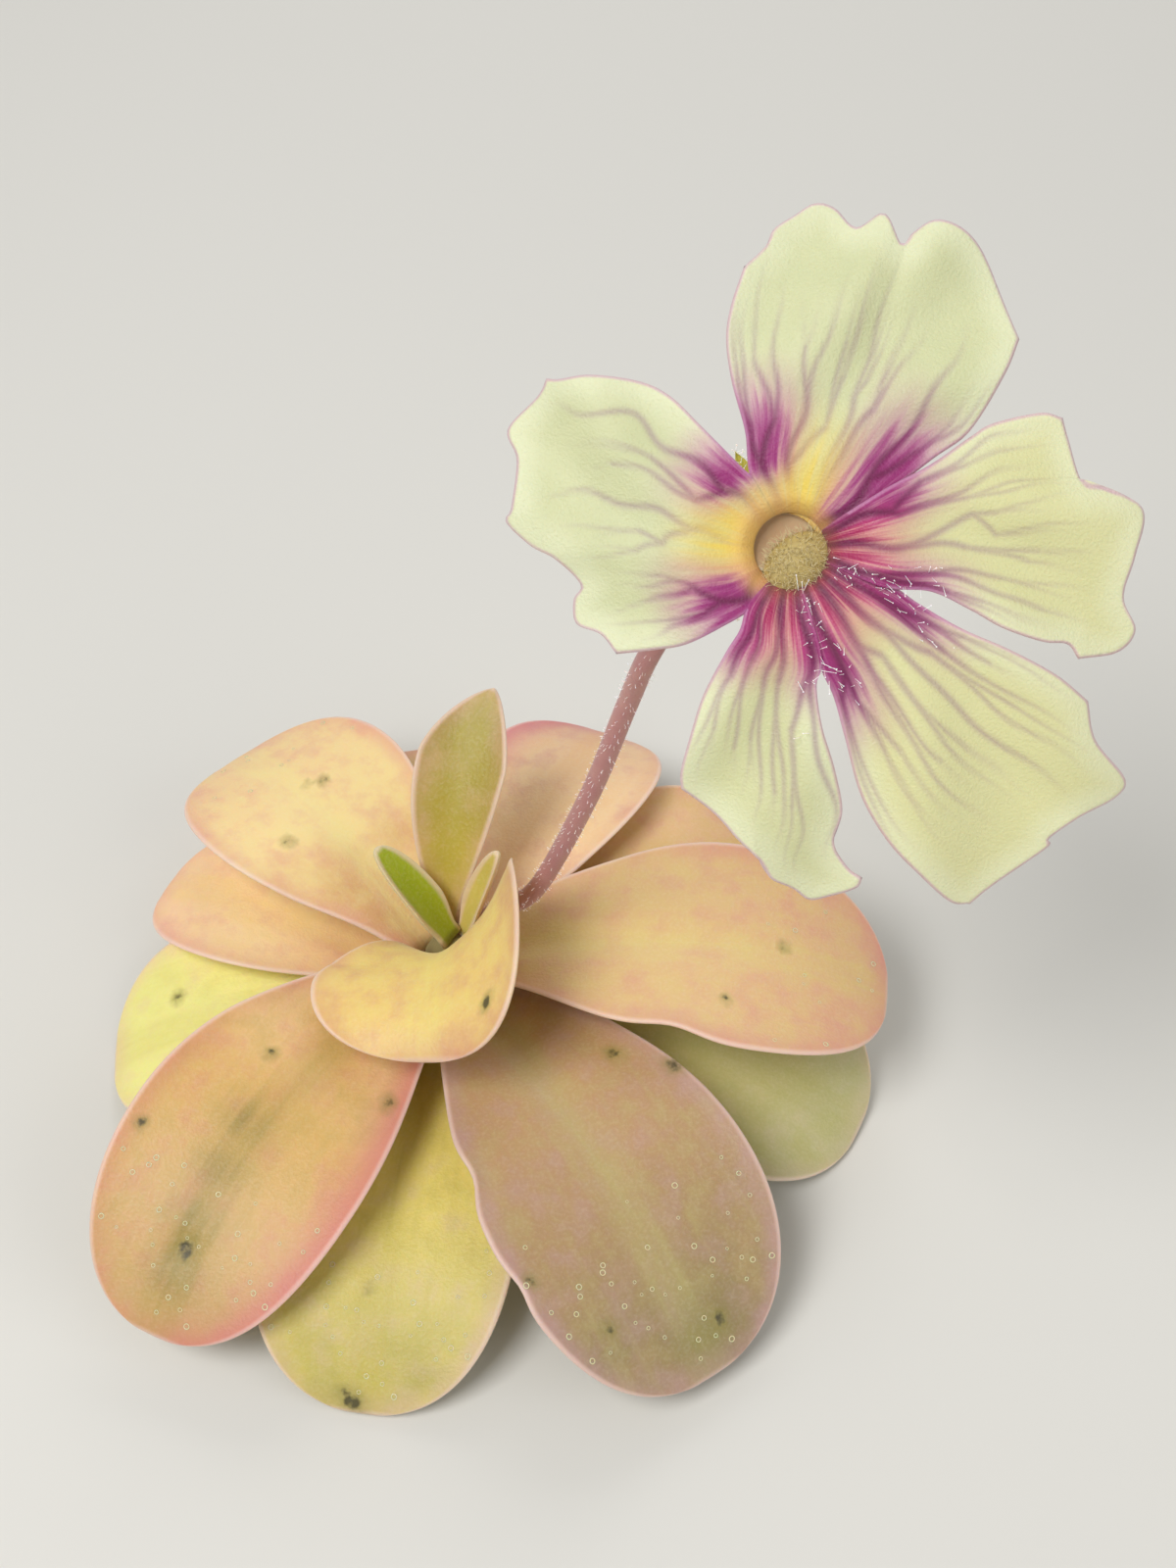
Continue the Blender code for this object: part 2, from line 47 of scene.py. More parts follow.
CAMERA_PLACE = (0.014, -0.1069, 0.1632)
CAMERA_TIP = 40.0
CAMERA_LENS = 42.75
CAMERA_CLIP = 0.005
FLOOR_SPAN = 3.0
FLOOR_COLOUR = "#DCDAD4"
SKY_COLOUR = "#F4F4F2"
SKY_STRENGTH = 0.31
LAMPS_AIM = (0.01, -0.01, 0.04)
# Lamps: name, place, span, power in watts
LAMPS = (
    ("key_lamp", (-0.22, -0.20, 0.50), 0.26, 2.2),
    ("fill_lamp", (0.40, -0.25, 0.30), 0.40, 0.7),
    ("back_lamp", (0.05, 0.45, 0.35), 0.35, 0.8),
)


def colour_of(hex_name):
    """A named sRGB colour as linear red, green, blue and alpha."""
    parts = [int(hex_name[k:k + 2], 16) / 255 for k in (1, 3, 5)]
    return tuple(c / 12.92 if c <= 0.04045 else ((c + 0.055) / 1.055) ** 2.4 for c in parts) + (1.0,)


def add_node(tree, kind, inputs=(), **settings):
    """A node with its settings, and with its inputs given as values or as sockets to link."""
    node = tree.nodes.new(kind)
    for name, value in settings.items():
        setattr(node, name, value)
    for key, value in dict(inputs).items():
        if isinstance(value, bpy.types.NodeSocket):
            tree.links.new(value, node.inputs[key])
        else:
            node.inputs[key].default_value = value
    return node


def empty_material(name):
    """A new material with no nodes yet."""
    material = bpy.data.materials.new(name)
    material.use_nodes = True
    material.node_tree.nodes.clear()
    return material


def read_attributes(tree, *names):
    """The values that a mesh carries under these names, as sockets."""
    return [add_node(tree, "ShaderNodeAttribute", attribute_name=name).outputs["Fac"] for name in names]


def painted(tree, ground, *layers):
    """A ground colour with others painted over it in turn, each as thickly as its factor says."""
    for factor, hex_name in layers:
        mix = add_node(tree, "ShaderNodeMix", {0: factor, 6: ground, 7: colour_of(hex_name)},
                       data_type="RGBA")
        ground = mix.outputs[2]
    return ground


def surfaced(tree, colour, height, depth, **finish):
    """Ends a material in a shader: its colour, its relief over a depth in millimetres, its finish."""
    relief = add_node(tree, "ShaderNodeBump", {"Height": height, "Distance": depth * METRES_PER_MM})
    values = {name.replace("_", " "): value for name, value in finish.items()}
    values.update({"Base Color": colour, "Normal": relief.outputs["Normal"]})
    shader = add_node(tree, "ShaderNodeBsdfPrincipled", values)
    add_node(tree, "ShaderNodeOutputMaterial", {"Surface": shader.outputs["BSDF"]})


# Matt card, with a faint tooth. Here and below, the scale of a noise on Object coordinates is one
# over the size of its grains in metres, so that 900 gives grains 1.1 mm across.
floor_card = empty_material("matt card")
card_grain = add_node(floor_card.node_tree, "ShaderNodeTexNoise", {"Scale": 900.0}).outputs["Fac"]
surfaced(floor_card.node_tree, colour_of(FLOOR_COLOUR), card_grain, 0.01, Roughness=0.9)
floor_mesh = bpy.data.meshes.new("floor")
reach = 0.5 * FLOOR_SPAN
floor_mesh.from_pydata([(-reach, -reach, 0), (reach, -reach, 0), (reach, reach, 0), (-reach, reach, 0)],
                       [], [(0, 1, 2, 3)])
floor_mesh.materials.append(floor_card)
floor = bpy.data.objects.new("floor", floor_mesh)
bpy.context.scene.collection.objects.link(floor)

for lamp_name, lamp_place, lamp_span, lamp_power in LAMPS:
    light = bpy.data.lights.new(lamp_name, "AREA")
    light.size = lamp_span
    light.energy = lamp_power
    lamp = bpy.data.objects.new(lamp_name, light)
    lamp.location = lamp_place
    lamp.rotation_euler = (Vector(LAMPS_AIM) - Vector(lamp_place)).to_track_quat("-Z", "Y").to_euler()
    bpy.context.scene.collection.objects.link(lamp)

sky = bpy.data.worlds.new("studio")
sky.use_nodes = True
sky.node_tree.nodes["Background"].inputs["Color"].default_value = colour_of(SKY_COLOUR)
sky.node_tree.nodes["Background"].inputs["Strength"].default_value = SKY_STRENGTH
bpy.context.scene.world = sky
bpy.context.scene.view_settings.view_transform = "Standard"

camera_data = bpy.data.cameras.new("camera")
camera_data.lens = CAMERA_LENS
camera_data.clip_start = CAMERA_CLIP
camera = bpy.data.objects.new("camera", camera_data)
camera.location = CAMERA_PLACE
camera.rotation_euler = (math.radians(CAMERA_TIP), 0, 0)
bpy.context.scene.collection.objects.link(camera)
bpy.context.scene.camera = camera

# The crown. The short living stem of the rosette, a firm straw-green cone with the scars of old
# leaves round it. It is one growth with a blunt tip, and it stands flat on the surface.
CROWN_HEIGHT = 12.0
CROWN_FOOT_RADIUS = 5.0
CROWN_TOP_RADIUS = 1.5
CROWN_TIP_ROUNDING = 1.2
CROWN_ROWS = 50
CROWN_SIDES = 48
# Radii of the two rings of its flat foot
FOOT_RINGS = (3.4, 3.9)
SCAR_SPACING = 1.5
SCAR_DEPTH = 0.12


def unit(vector):
    vector = np.asarray(vector, float)
    return vector / np.linalg.norm(vector)


def skin(loops, closed=False):
    """Points and quads of a skin over loops of equal length, closed into a ring or capped at both
    ends by strips from side to side."""
    size, rows = len(loops[0]), len(loops)
    points = [p for loop in loops for p in loop]
    faces = []
    for row in range(rows if closed else rows - 1):
        here, there = row * size, (row + 1) % rows * size
        faces += [(here + k, here + (k + 1) % size, there + (k + 1) % size, there + k) for k in range(size)]
    if not closed:
        for end in (0, (rows - 1) * size):
            faces += [(end + k, end + k + 1, end + size - 2 - k, end + size - 1 - k)
                      for k in range(size // 2 - 1)]
    return points, faces


def carry(mesh, **attributes):
    """Lets a mesh carry named values, one for each of its points."""
    for label, values in attributes.items():
        mesh.attributes.new(label, "FLOAT", "POINT").data.foreach_set("value", np.asarray(values, np.float32))


def made(name, points, faces, material, **attributes):
    """A smooth object from points in millimetres, its faces outwards, carrying named values."""
    mesh = bpy.data.meshes.new(name)
    mesh.from_pydata([[c * METRES_PER_MM for c in p] for p in points], [], faces)
    carry(mesh, **attributes)
    shell = bmesh.new()
    shell.from_mesh(mesh)
    bmesh.ops.recalc_face_normals(shell, faces=shell.faces)
    shell.to_mesh(mesh)
    shell.free()
    mesh.shade_smooth()
    mesh.materials.append(material)
    piece = bpy.data.objects.new(name, mesh)
    bpy.context.scene.collection.objects.link(piece)
    return piece


def placed(piece, slot, *nodes):
    """Sets a piece on the plant's one body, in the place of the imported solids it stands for."""
    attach(piece, "root")
    if nodes:
        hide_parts(*nodes)
    return piece


def crown_radius(height):
    share = min(max(height / CROWN_HEIGHT, 0.0), 1.0)
    return CROWN_FOOT_RADIUS + (CROWN_TOP_RADIUS - CROWN_FOOT_RADIUS) * share ** 1.2


# Living stem tissue, firm and waxy, mottled in patches 2.5 mm across.
crown_tissue = empty_material("living stem")
tree = crown_tissue.node_tree
mottle = add_node(tree, "ShaderNodeTexNoise", {"Scale": 400.0, "Detail": 4.0}).outputs["Fac"]
surfaced(tree, painted(tree, colour_of("#C9BE83"), (mottle, "#8E7A4A")), mottle, 0.15, Roughness=0.6)

crown_loops = []
for height in np.concatenate((np.zeros(len(FOOT_RINGS)), np.linspace(0.35, CROWN_HEIGHT, CROWN_ROWS))):
    radius = crown_radius(height)
    radius -= SCAR_DEPTH * (1 + math.cos(2 * math.pi * height / SCAR_SPACING))
    radius *= min(1.0, math.sqrt(max(0.02, (CROWN_HEIGHT - height) / CROWN_TIP_ROUNDING)))
    if len(crown_loops) < len(FOOT_RINGS):
        radius = FOOT_RINGS[len(crown_loops)]
    crown_loops.append([(radius * math.cos(a), radius * math.sin(a), height)
                        for a in np.linspace(0, 2 * math.pi, CROWN_SIDES, endpoint=False)])
placed(made("crown_stem", *skin(crown_loops), crown_tissue), "crown_tissue", "crown")

# The leaves. Fleshy, spatula-shaped and slightly cupped, with a shallow channel along the midrib
# and a soft rolled margin. They grow from the crown in a spiral, each overlapping the last.
SEAT_GAP = 0.3
SEAT_DEPTH = 0.9
LEAF_THICKNESS = 1.3
RIM_THICKNESS = 0.6
RIM_ROUNDING = 0.5
LEAF_ROWS = 64
LEAF_COLUMNS = 45
# How strongly every leaf is cupped at its root, in 1/mm, and how broad its midrib's channel is
ROOT_CUP = 0.16
CHANNEL_SPREAD = 2.2
# Drops start at this share of a leaf's length, reach their full number over the next share, and
# keep this many millimetres from its rim
DEW_START = 0.6
DEW_FADE = 0.2
DEW_RIM_GAP = 0.8
# Colours of a leaf: at its root, its middle and its tip, then its rim and the streak along it
PEACH = ("#E6C48A", "#E8C48E", "#DFB184", "#DB8C88", "#D8B866")
# Leaves from the oldest and lowest to the youngest. azimuth is the way the leaf points in plan
# and bend how far it swings sideways by its tip, in degrees. seat is how high on the crown it
# grows. rise, crest and droop are the slopes of the midrib at its base, middle and tip, in
# degrees. roll tips the blade about its midrib and cup is the blade's curve across, in 1/mm.
# widest is where along its length the blade is broadest, neck how wide its base is for that, and
# blunt how round its tip is. A dent is a side, a place along the leaf, a share of the width and
# a spread. A raised margin is a side, a height, a place and a spread. Places on a leaf are shares
# of its length and of its half width, and its left side is positive. A speck or shade is a place
# and a radius, a pucker a place, a depth and a radius, and rosy is the side that is flushed the
# most. dewy is how many drops its tip carries, as a share of the most.
LEAVES = (
    dict(name="leaf_back_low_left", azimuth=134, seat=1.6, length=26, width=16, rise=23, crest=4.2,
         droop=-34, colours=PEACH),
    dict(name="leaf_back_low_right", azimuth=75, seat=2.7, length=26, width=17, rise=20.5, crest=3.8,
         droop=-34, colours=PEACH),
    dict(name="leaf_left_low", azimuth=195, seat=2.2, length=31, width=22, rise=24.8, crest=3.3,
         droop=-38, bend=-8.5, slot="leaf_yellow",
         colours=("#FFF8A0", "#FFF89C", "#F2EA8E", "#EDC8A4", "#E2D878"), specks=((0.74, 0.35, 0.9),)),
    dict(name="leaf_right_low", azimuth=-19, seat=2.2, length=40, width=23, rise=22.5, crest=5.9,
         droop=-36, bend=-3, roll=10, slot="leaf_yellow",
         colours=("#C8B060", "#C6BC76", "#BDB986", "#D2C0A0", "#B2AE68")),
    dict(name="leaf_front_low", azimuth=-98, seat=3.6, length=41.7, width=24, rise=25.6, crest=4.2,
         droop=-44, slot="leaf_yellow", colours=("#D8C464", "#EBD873", "#BBAE5C", "#D8B8A0", "#C0B04C"),
         specks=((0.97, 0.2, 1.5), (0.74, 0.05, 0.6)), dewy=1.0),
    dict(name="leaf_back_right_low", azimuth=26, seat=4.7, length=36, width=20, rise=28.2, crest=6.2,
         droop=-35, bend=-1, colours=PEACH),
    dict(name="leaf_left_middle", azimuth=163.5, seat=4.7, length=29.5, width=16.2, rise=27.5, crest=9,
         droop=-35, bend=-9, roll=-3, colours=("#FFCC96", "#FFDEA8", "#FFD2A6", "#E29A94", "#F6D48A")),
    dict(name="leaf_front_right", azimuth=-59, seat=6.0, length=47.2, width=25.7, rise=30, crest=1,
         droop=-45, bend=1, roll=-1.5, widest=0.64, dents=((1, 0.46, 0.08, 0.05), (1, 0.68, 0.04, 0.04)),
         colours=("#C09A64", "#BC966C", "#998456", "#C29A9C", "#BCB072"), shades=((0.93, -0.1, 3.6),),
         specks=((0.36, -0.7, 1.1), (0.45, -0.95, 1.2), (0.91, -0.3, 1.1), (0.68, 0.9, 0.9),
                 (0.82, 0.6, 0.9)),
         puckers=((0.47, 0.9, 0.5, 1.6),), dewy=1.0),
    dict(name="leaf_back", azimuth=98, seat=6.0, length=25, width=16, rise=28.5, crest=11.5,
         droop=-24, colours=PEACH),
    dict(name="leaf_front_left", azimuth=-125.5, seat=8.3, length=45.6, width=22.8, rise=32.5, crest=0,
         droop=-46, bend=6, roll=-10, widest=0.6,
         colours=("#F2CE98", "#DBB26A", "#CFAA72", "#D27E78", "#BCA050"), rosy=-1,
         shades=((0.56, 0.15, 2.4), (0.66, 0.12, 2.6), (0.76, 0.08, 2.8), (0.86, 0.05, 2.8)),
         specks=((0.82, 0.05, 1.5), (0.42, 0.4, 0.8), (0.36, -0.8, 1.0), (0.66, 0.85, 0.8)),
         puckers=((0.82, 0.05, 0.5, 1.6),), dewy=1.0),
    dict(name="leaf_back_right", azimuth=59.5, seat=7.8, length=32, width=19, rise=31, crest=7.2,
         droop=-34, bend=2.5, roll=-4, widest=0.65,
         colours=("#FAD0A6", "#F2CE9C", "#E8C096", "#CC7480", "#E8B880"), rosy=-1),
    dict(name="leaf_right", azimuth=-6.5, seat=9.7, length=42.7, width=23.7, rise=27.5, crest=6,
         droop=-33, bend=-2, widest=0.61, dents=((1, 0.50, 0.10, 0.08),),
         colours=("#D8B47C", "#E0BC84", "#E0B288", "#D8858A", "#DECB7C"),
         specks=((0.73, -0.1, 0.7), (0.61, 0.55, 0.7)), dewy=0.3),
    dict(name="leaf_back_left", azimuth=135, seat=9.6, length=32.4, width=23, rise=32, crest=8.5,
         droop=-32, bend=-1, roll=1.5, colours=("#D8A66E", "#F6DA98", "#F2CC98", "#DE8E8C", "#F4E298"),
         specks=((0.62, 0.25, 0.8), (0.65, 0.12, 0.6), (0.5, -0.45, 0.9)), dewy=0.3),
    dict(name="leaf_front_small", azimuth=-96, seat=11.6, length=20, width=22, rise=80, crest=24,
         droop=-36, bend=7.5, roll=20, cup=0.04, widest=0.59, raised=(-1, 5.0, 0.3, 0.3),
         dents=((-1, 0.3, -0.1, 0.2),), colours=("#E6C870", "#E8C874", "#EAC77C", "#C87878", "#EEDF7C"),
         specks=((0.79, -0.7, 0.8),)),
    dict(name="leaf_upright", azimuth=90, seat=11.5, length=24.7, width=9.4, rise=78, crest=35,
         droop=28, bend=-30, roll=3, cup=0.10, widest=0.68, neck=0.25, blunt=1.35,
         slot="leaf_yellow", colours=("#D0BC44", "#B09C34", "#A08E34", "#E2B89C", "#B8A840")),
    dict(name="leaf_young", azimuth=150, start=(0.1, 0.2, 12.8), length=11.5, width=4.2, rise=52,
         crest=48, droop=44, cup=0.2, channel=0.3, neck=0.7, widest=0.35, thickness=0.8,
         slot="leaf_young", colours=("#8C9400", "#9CAE00", "#A8B81C", "#B4BE30", "#94A400")),
    dict(name="leaf_young_narrow", azimuth=38, start=(1.7, 1.1, 12.1), length=10, width=2.6, rise=66,
         crest=62, droop=60, cup=0.3, channel=0.3, neck=0.8, widest=0.4, thickness=0.8,
         slot="leaf_yellow", colours=("#C8B850", "#D2C454", "#B4AA3C", "#DCC078", "#C0B448")),
)


def half_width_share(t, widest, neck, blunt):
    """How wide a leaf is at t along it: a narrow base, broadest beyond the middle, a round tip."""
    if t < widest:
        return neck + (1 - neck) * math.sin(0.5 * math.pi * max(t, 0.0) / widest) ** 1.4
    return max(1 - ((t - widest) / (1 - widest)) ** blunt, 0.0) ** (1 / blunt)


def tangent_at(t, azimuth, bend, rise, crest, droop):
    """The way a leaf's midrib runs at t along it."""
    slope = math.radians((1 - t) ** 2 * rise + 2 * t * (1 - t) * crest + t * t * droop)
    heading = math.radians(azimuth + bend * t)
    return np.array((math.cos(slope) * math.cos(heading), math.cos(slope) * math.sin(heading),
                     math.sin(slope)))


def near(t, u, half, length, place, radius):
    """1 at a place on a leaf, falling off over a radius in millimetres."""
    gap = math.hypot((t - place[0]) * length, (u - place[1]) * half)
    return math.exp(-(gap / radius) ** 2)


def leaf_blade(azimuth, length, width, rise, crest, droop, seat=0.0, start=None, bend=0.0, roll=0.0,
               cup=0.012, channel=0.9, upturn=0.5, widest=0.62, neck=0.35, blunt=2.15, dents=(),
               raised=(1, 0.0, 0.5, 1.0), thickness=LEAF_THICKNESS, specks=(), puckers=(), shades=(),
               rosy=0):
    """A leaf's loops across its midrib, and for each point what its material is to know."""
    base_rows = LEAF_ROWS // 2
    stations = [widest * k / base_rows for k in range(base_rows)]
    stations += [widest + (1 - widest) * math.sin(0.5 * math.pi * k / base_rows) for k in range(base_rows)]
    stations.append(1 - 0.02 * (1 - stations[-1]))
    across = np.sin(0.5 * math.pi * np.linspace(-1, 1, LEAF_COLUMNS))
    heading = math.radians(azimuth)
    radius = crown_radius(seat) + SEAT_GAP + 0.5 * thickness * abs(math.sin(math.radians(rise)))
    if start is None:
        start = (radius * math.cos(heading), radius * math.sin(heading), seat)
    track = [np.array(start)]
    for k in range(LEAF_ROWS):
        track.append(track[-1] + tangent_at((k + 0.5) / LEAF_ROWS, azimuth, bend, rise, crest, droop)
                     * length / LEAF_ROWS)
    track = np.array(track)
    loops, notes = [], []
    for t in stations:
        centre = np.array([np.interp(t * LEAF_ROWS, range(LEAF_ROWS + 1), track[:, i]) for i in range(3)])
        along = tangent_at(t, azimuth, bend, rise, crest, droop)
        if t == 0.0:
            centre = centre - SEAT_DEPTH * along
        side = unit(np.cross(along, (0, 0, 1)))
        above = np.cross(side, along)
        lean = math.radians(roll * min(1.0, 2.5 * t))
        side, above = (side * math.cos(lean) - above * math.sin(lean),
                       above * math.cos(lean) + side * math.sin(lean))
        half = 0.5 * width * half_width_share(t, widest, neck, blunt)
        curve = cup + (ROOT_CUP - cup) * max(0.0, 1 - t / 0.35) ** 2
        top, bottom, known = [], [], []
        for u in across:
            narrowing = 1.0
            for dent_side, dent_at, depth, spread in dents:
                if dent_side * u > 0:
                    narrowing -= depth * math.exp(-((t - dent_at) / spread) ** 2)
            reach = u * half * narrowing
            angle = curve * reach
            lift = (1 - math.cos(angle)) / curve
            lift -= channel * math.exp(-(reach / CHANNEL_SPREAD) ** 2) * max(0.0, 1 - t / 0.85)
            lift += upturn * abs(u) ** 6 * min(1.0, 3 * t, 2 * half / width)
            if raised[0] * u > 0:
                lift += raised[1] * u * u * math.exp(-((t - raised[2]) / raised[3]) ** 2)
            for place_t, place_u, depth, spread in puckers:
                lift -= depth * near(t, u, half, length, (place_t, place_u), spread)
            point = centre + side * math.sin(angle) / curve + above * lift
            outward = unit(above * math.cos(angle) - side * math.sin(angle))
            margin = min(half * (1 - abs(u)), (1 - t) * length * 0.8)
            rounding = math.sqrt(1 - (1 - min(1.0, margin / RIM_ROUNDING)) ** 2)
            body = RIM_THICKNESS + (thickness - RIM_THICKNESS) * (1 - u * u) * (1 - 0.35 * t)
            body *= max(rounding, 0.03)
            top.append(point + outward * 0.5 * body)
            bottom.append(point - outward * 0.5 * body)
            speck = max([near(t, u, half, length, s, s[2]) for s in specks], default=0.0)
            shaded = max([near(t, u, half, length, s, s[2]) for s in shades], default=0.0)
            known.append((t, reach, margin, speck, shaded, max(0.0, rosy * u)))
        loops.append(top + bottom[::-1])
        notes += [(*k, 0.0) for k in known] + [(*k, 1.0) for k in known[::-1]]
    return loops, np.array(notes)


def leaf_tissue(name, root, middle, tip, rim, streak):
    """Living leaf, fleshy and a little translucent, under a velvet of tiny glands: mottling 7 mm
    and blotches 3 mm across, faint fibres along it, a flushed rolled rim with a painted highlight
    along its very edge, and brown specks where prey has rotted. The velvet has a grain of 0.3 mm,
    coarser than the real glands, to show."""
    material = empty_material(name)
    tree = material.node_tree
    along, across, margin, speck, under, shaded, rosy = read_attributes(
        tree, "along", "across", "margin", "speck", "under", "shaded", "rosy")
    place = add_node(tree, "ShaderNodeTexCoord").outputs["Object"]
    mottle = add_node(tree, "ShaderNodeTexNoise", {"Vector": place, "Scale": 150.0,
                                                   "Detail": 3.0}).outputs["Fac"]
    cloud = add_node(tree, "ShaderNodeMapRange", {"Value": mottle, "From Min": 0.4, "From Max": 0.7,
                                                  "To Max": 0.5}).outputs["Result"]
    velvet = add_node(tree, "ShaderNodeTexNoise", {"Vector": place, "Scale": 3200.0,
                                                   "Detail": 2.0}).outputs["Fac"]
    bloom = add_node(tree, "ShaderNodeMapRange", {"Value": velvet, "From Min": 0.45, "From Max": 0.75,
                                                  "To Max": 0.09}).outputs["Result"]
    blotches = add_node(tree, "ShaderNodeTexNoise", {"Vector": place, "Scale": 330.0, "Detail": 4.0,
                                                     "Roughness": 0.6}).outputs["Fac"]
    rose_blotch = add_node(tree, "ShaderNodeMapRange", {"Value": blotches, "From Min": 0.48, "From Max": 0.68,
                                                        "To Max": 0.3}).outputs["Result"]
    gold_blotch = add_node(tree, "ShaderNodeMapRange", {"Value": blotches, "From Min": 0.5, "From Max": 0.32,
                                                        "To Max": 0.3}).outputs["Result"]
    run = add_node(tree, "ShaderNodeMath", {0: mottle, 1: 0.3, 2: along}, operation="MULTIPLY_ADD").outputs[0]
    ramp = add_node(tree, "ShaderNodeValToRGB", {"Fac": run})
    stops = ramp.color_ramp.elements
    stops[0].position, stops[0].color = 0.28, colour_of(root)
    stops[1].position, stops[1].color = 1.0, colour_of(tip)
    stops.new(0.65).color = colour_of(middle)
    fibre_place = add_node(tree, "ShaderNodeCombineXYZ", {"X": across, "Y": along}).outputs["Vector"]
    fibre_space = add_node(tree, "ShaderNodeMapping", {"Vector": fibre_place, "Scale": (0.9, 3.0, 1.0)})
    fibres = add_node(tree, "ShaderNodeTexNoise", {"Vector": fibre_space.outputs["Vector"], "Scale": 1.0,
                                                   "Detail": 3.0}).outputs["Fac"]
    fibre = add_node(tree, "ShaderNodeMapRange", {"Value": fibres, "From Min": 0.5, "From Max": 0.75,
                                                  "To Max": 0.25}).outputs["Result"]
    from_midrib = add_node(tree, "ShaderNodeMath", {0: across}, operation="ABSOLUTE").outputs[0]
    midrib = add_node(tree, "ShaderNodeMapRange", {"Value": from_midrib, "From Min": 3.2, "From Max": 0.3,
                                                   "To Max": 0.9},
                      interpolation_type="SMOOTHSTEP").outputs["Result"]
    midrib = add_node(tree, "ShaderNodeMath", {0: midrib, 1: fibres}, operation="MULTIPLY").outputs[0]
    shade = add_node(tree, "ShaderNodeMath", {0: shaded, 1: fibres}, operation="MULTIPLY").outputs[0]
    patchy = add_node(tree, "ShaderNodeMapRange", {"Value": add_node(
        tree, "ShaderNodeTexNoise", {"Vector": place, "Scale": 70.0}).outputs["Fac"], "From Min": 0.35,
        "From Max": 0.65, "To Min": 0.25}).outputs["Result"]
    glow = add_node(tree, "ShaderNodeMapRange", {"Value": margin, "From Min": 2.8, "From Max": 0.2,
                                                 "To Max": 0.5},
                    interpolation_type="SMOOTHSTEP").outputs["Result"]
    glow = add_node(tree, "ShaderNodeMath", {0: glow, 1: patchy}, operation="MULTIPLY").outputs[0]
    flush = add_node(tree, "ShaderNodeMapRange", {"Value": margin, "From Min": 5.5, "From Max": 0.3,
                                                  "To Max": 0.75},
                     interpolation_type="SMOOTHSTEP").outputs["Result"]
    flush = add_node(tree, "ShaderNodeMath", {0: flush, 1: rosy}, operation="MULTIPLY").outputs[0]
    # Painted highlight: the very rim is painted pale, for the light that its rounded edge catches.
    edge = add_node(tree, "ShaderNodeMapRange", {"Value": margin, "From Min": 0.6, "From Max": 0.1,
                                                 "To Max": 0.6},
                    interpolation_type="SMOOTHSTEP").outputs["Result"]
    ragged = add_node(tree, "ShaderNodeTexNoise", {"Vector": place, "Scale": 900.0,
                                                   "Detail": 3.0}).outputs["Fac"]
    spot = add_node(tree, "ShaderNodeMath", {0: speck, 1: ragged}, operation="MULTIPLY").outputs[0]
    stain = add_node(tree, "ShaderNodeMapRange", {"Value": spot, "From Min": 0.08, "From Max": 0.4,
                                                  "To Max": 0.55}).outputs["Result"]
    pit = add_node(tree, "ShaderNodeMapRange", {"Value": spot, "From Min": 0.36, "From Max": 0.52,
                                                "To Max": 0.85}).outputs["Result"]
    pale = add_node(tree, "ShaderNodeMath", {0: under, 1: 0.35}, operation="MULTIPLY").outputs[0]
    colour = painted(tree, ramp.outputs["Color"], (cloud, middle), (rose_blotch, rim),
                     (gold_blotch, streak), (fibre, streak), (midrib, streak), (shade, "#7E7430"),
                     (bloom, "#F6EAD6"), (glow, rim), (flush, rim), (edge, "#F0D2C8"),
                     (stain, "#8C8238"), (pit, "#3C3820"), (pale, "#D8CE92"))
    surfaced(tree, colour, velvet, 0.05, Roughness=0.5, Subsurface_Weight=0.3,
             Subsurface_Radius=(1.0, 0.55, 0.25), Subsurface_Scale=0.0015,
             Sheen_Weight=0.2, Sheen_Roughness=0.4)
    return material


# What a leaf's recipe says beside its shape, and what its mesh carries
LOOKS = ("name", "colours", "slot", "dewy")
LEAF_NOTES = ("along", "across", "margin", "speck", "shaded", "rosy", "under")
leaf_pieces = {}
for recipe in LEAVES:
    loops, notes = leaf_blade(**{key: value for key, value in recipe.items() if key not in LOOKS})
    noted = dict(zip(LEAF_NOTES, notes.T))
    tissue = leaf_tissue("living leaf, " + recipe["name"], *recipe["colours"])
    near_tip = np.clip((noted["along"] - DEW_START) / DEW_FADE, 0, 1)
    piece = made(recipe["name"] + "_blade", *skin(loops), tissue, **noted,
                 dewy=near_tip * (1 - noted["under"]) * (noted["margin"] > DEW_RIM_GAP))
    placed(piece, recipe.get("slot", "leaf_blush"), recipe["name"])
    leaf_pieces[recipe["name"]] = piece


# The dew. The older leaves carry clear drops of mucilage near their tips. Each drop is drawn only
# as a low pale ring, a painted highlight for the light that its clear rim catches.
DEW_PER_SQUARE_METRE = 120000.0
DEW_RADIUS = 0.2
DEW_GIRTH = 0.045
# What a growth on a surface takes: the surface, how densely things stand on it, the attribute
# that says where, and a seed
SURFACE_INPUTS = (("Surface", "Geometry"), ("Density", "Float"), ("Where", "String"), ("Seed", "Int"))


def growth_tree(name, *inputs):
    """An empty tree with these inputs, the first the geometry that it starts from, and a material."""
    tree = bpy.data.node_groups.new(name, "GeometryNodeTree")
    for label, kind in (*inputs, ("Material", "Material")):
        tree.interface.new_socket(label, in_out="INPUT", socket_type="NodeSocket" + kind)
    tree.interface.new_socket("Growth", in_out="OUTPUT", socket_type="NodeSocketGeometry")
    return tree, add_node(tree, "NodeGroupInput").outputs


def end_growth(tree, given, geometry):
    """Ends a growth tree: all it made, as one smooth mesh in its material."""
    real = add_node(tree, "GeometryNodeRealizeInstances", {"Geometry": geometry})
    smooth = add_node(tree, "GeometryNodeSetShadeSmooth", {"Geometry": real.outputs[0]})
    coated = add_node(tree, "GeometryNodeSetMaterial", {"Geometry": smooth.outputs[0],
                                                        "Material": given["Material"]})
    add_node(tree, "NodeGroupOutput", {"Growth": coated.outputs[0]})


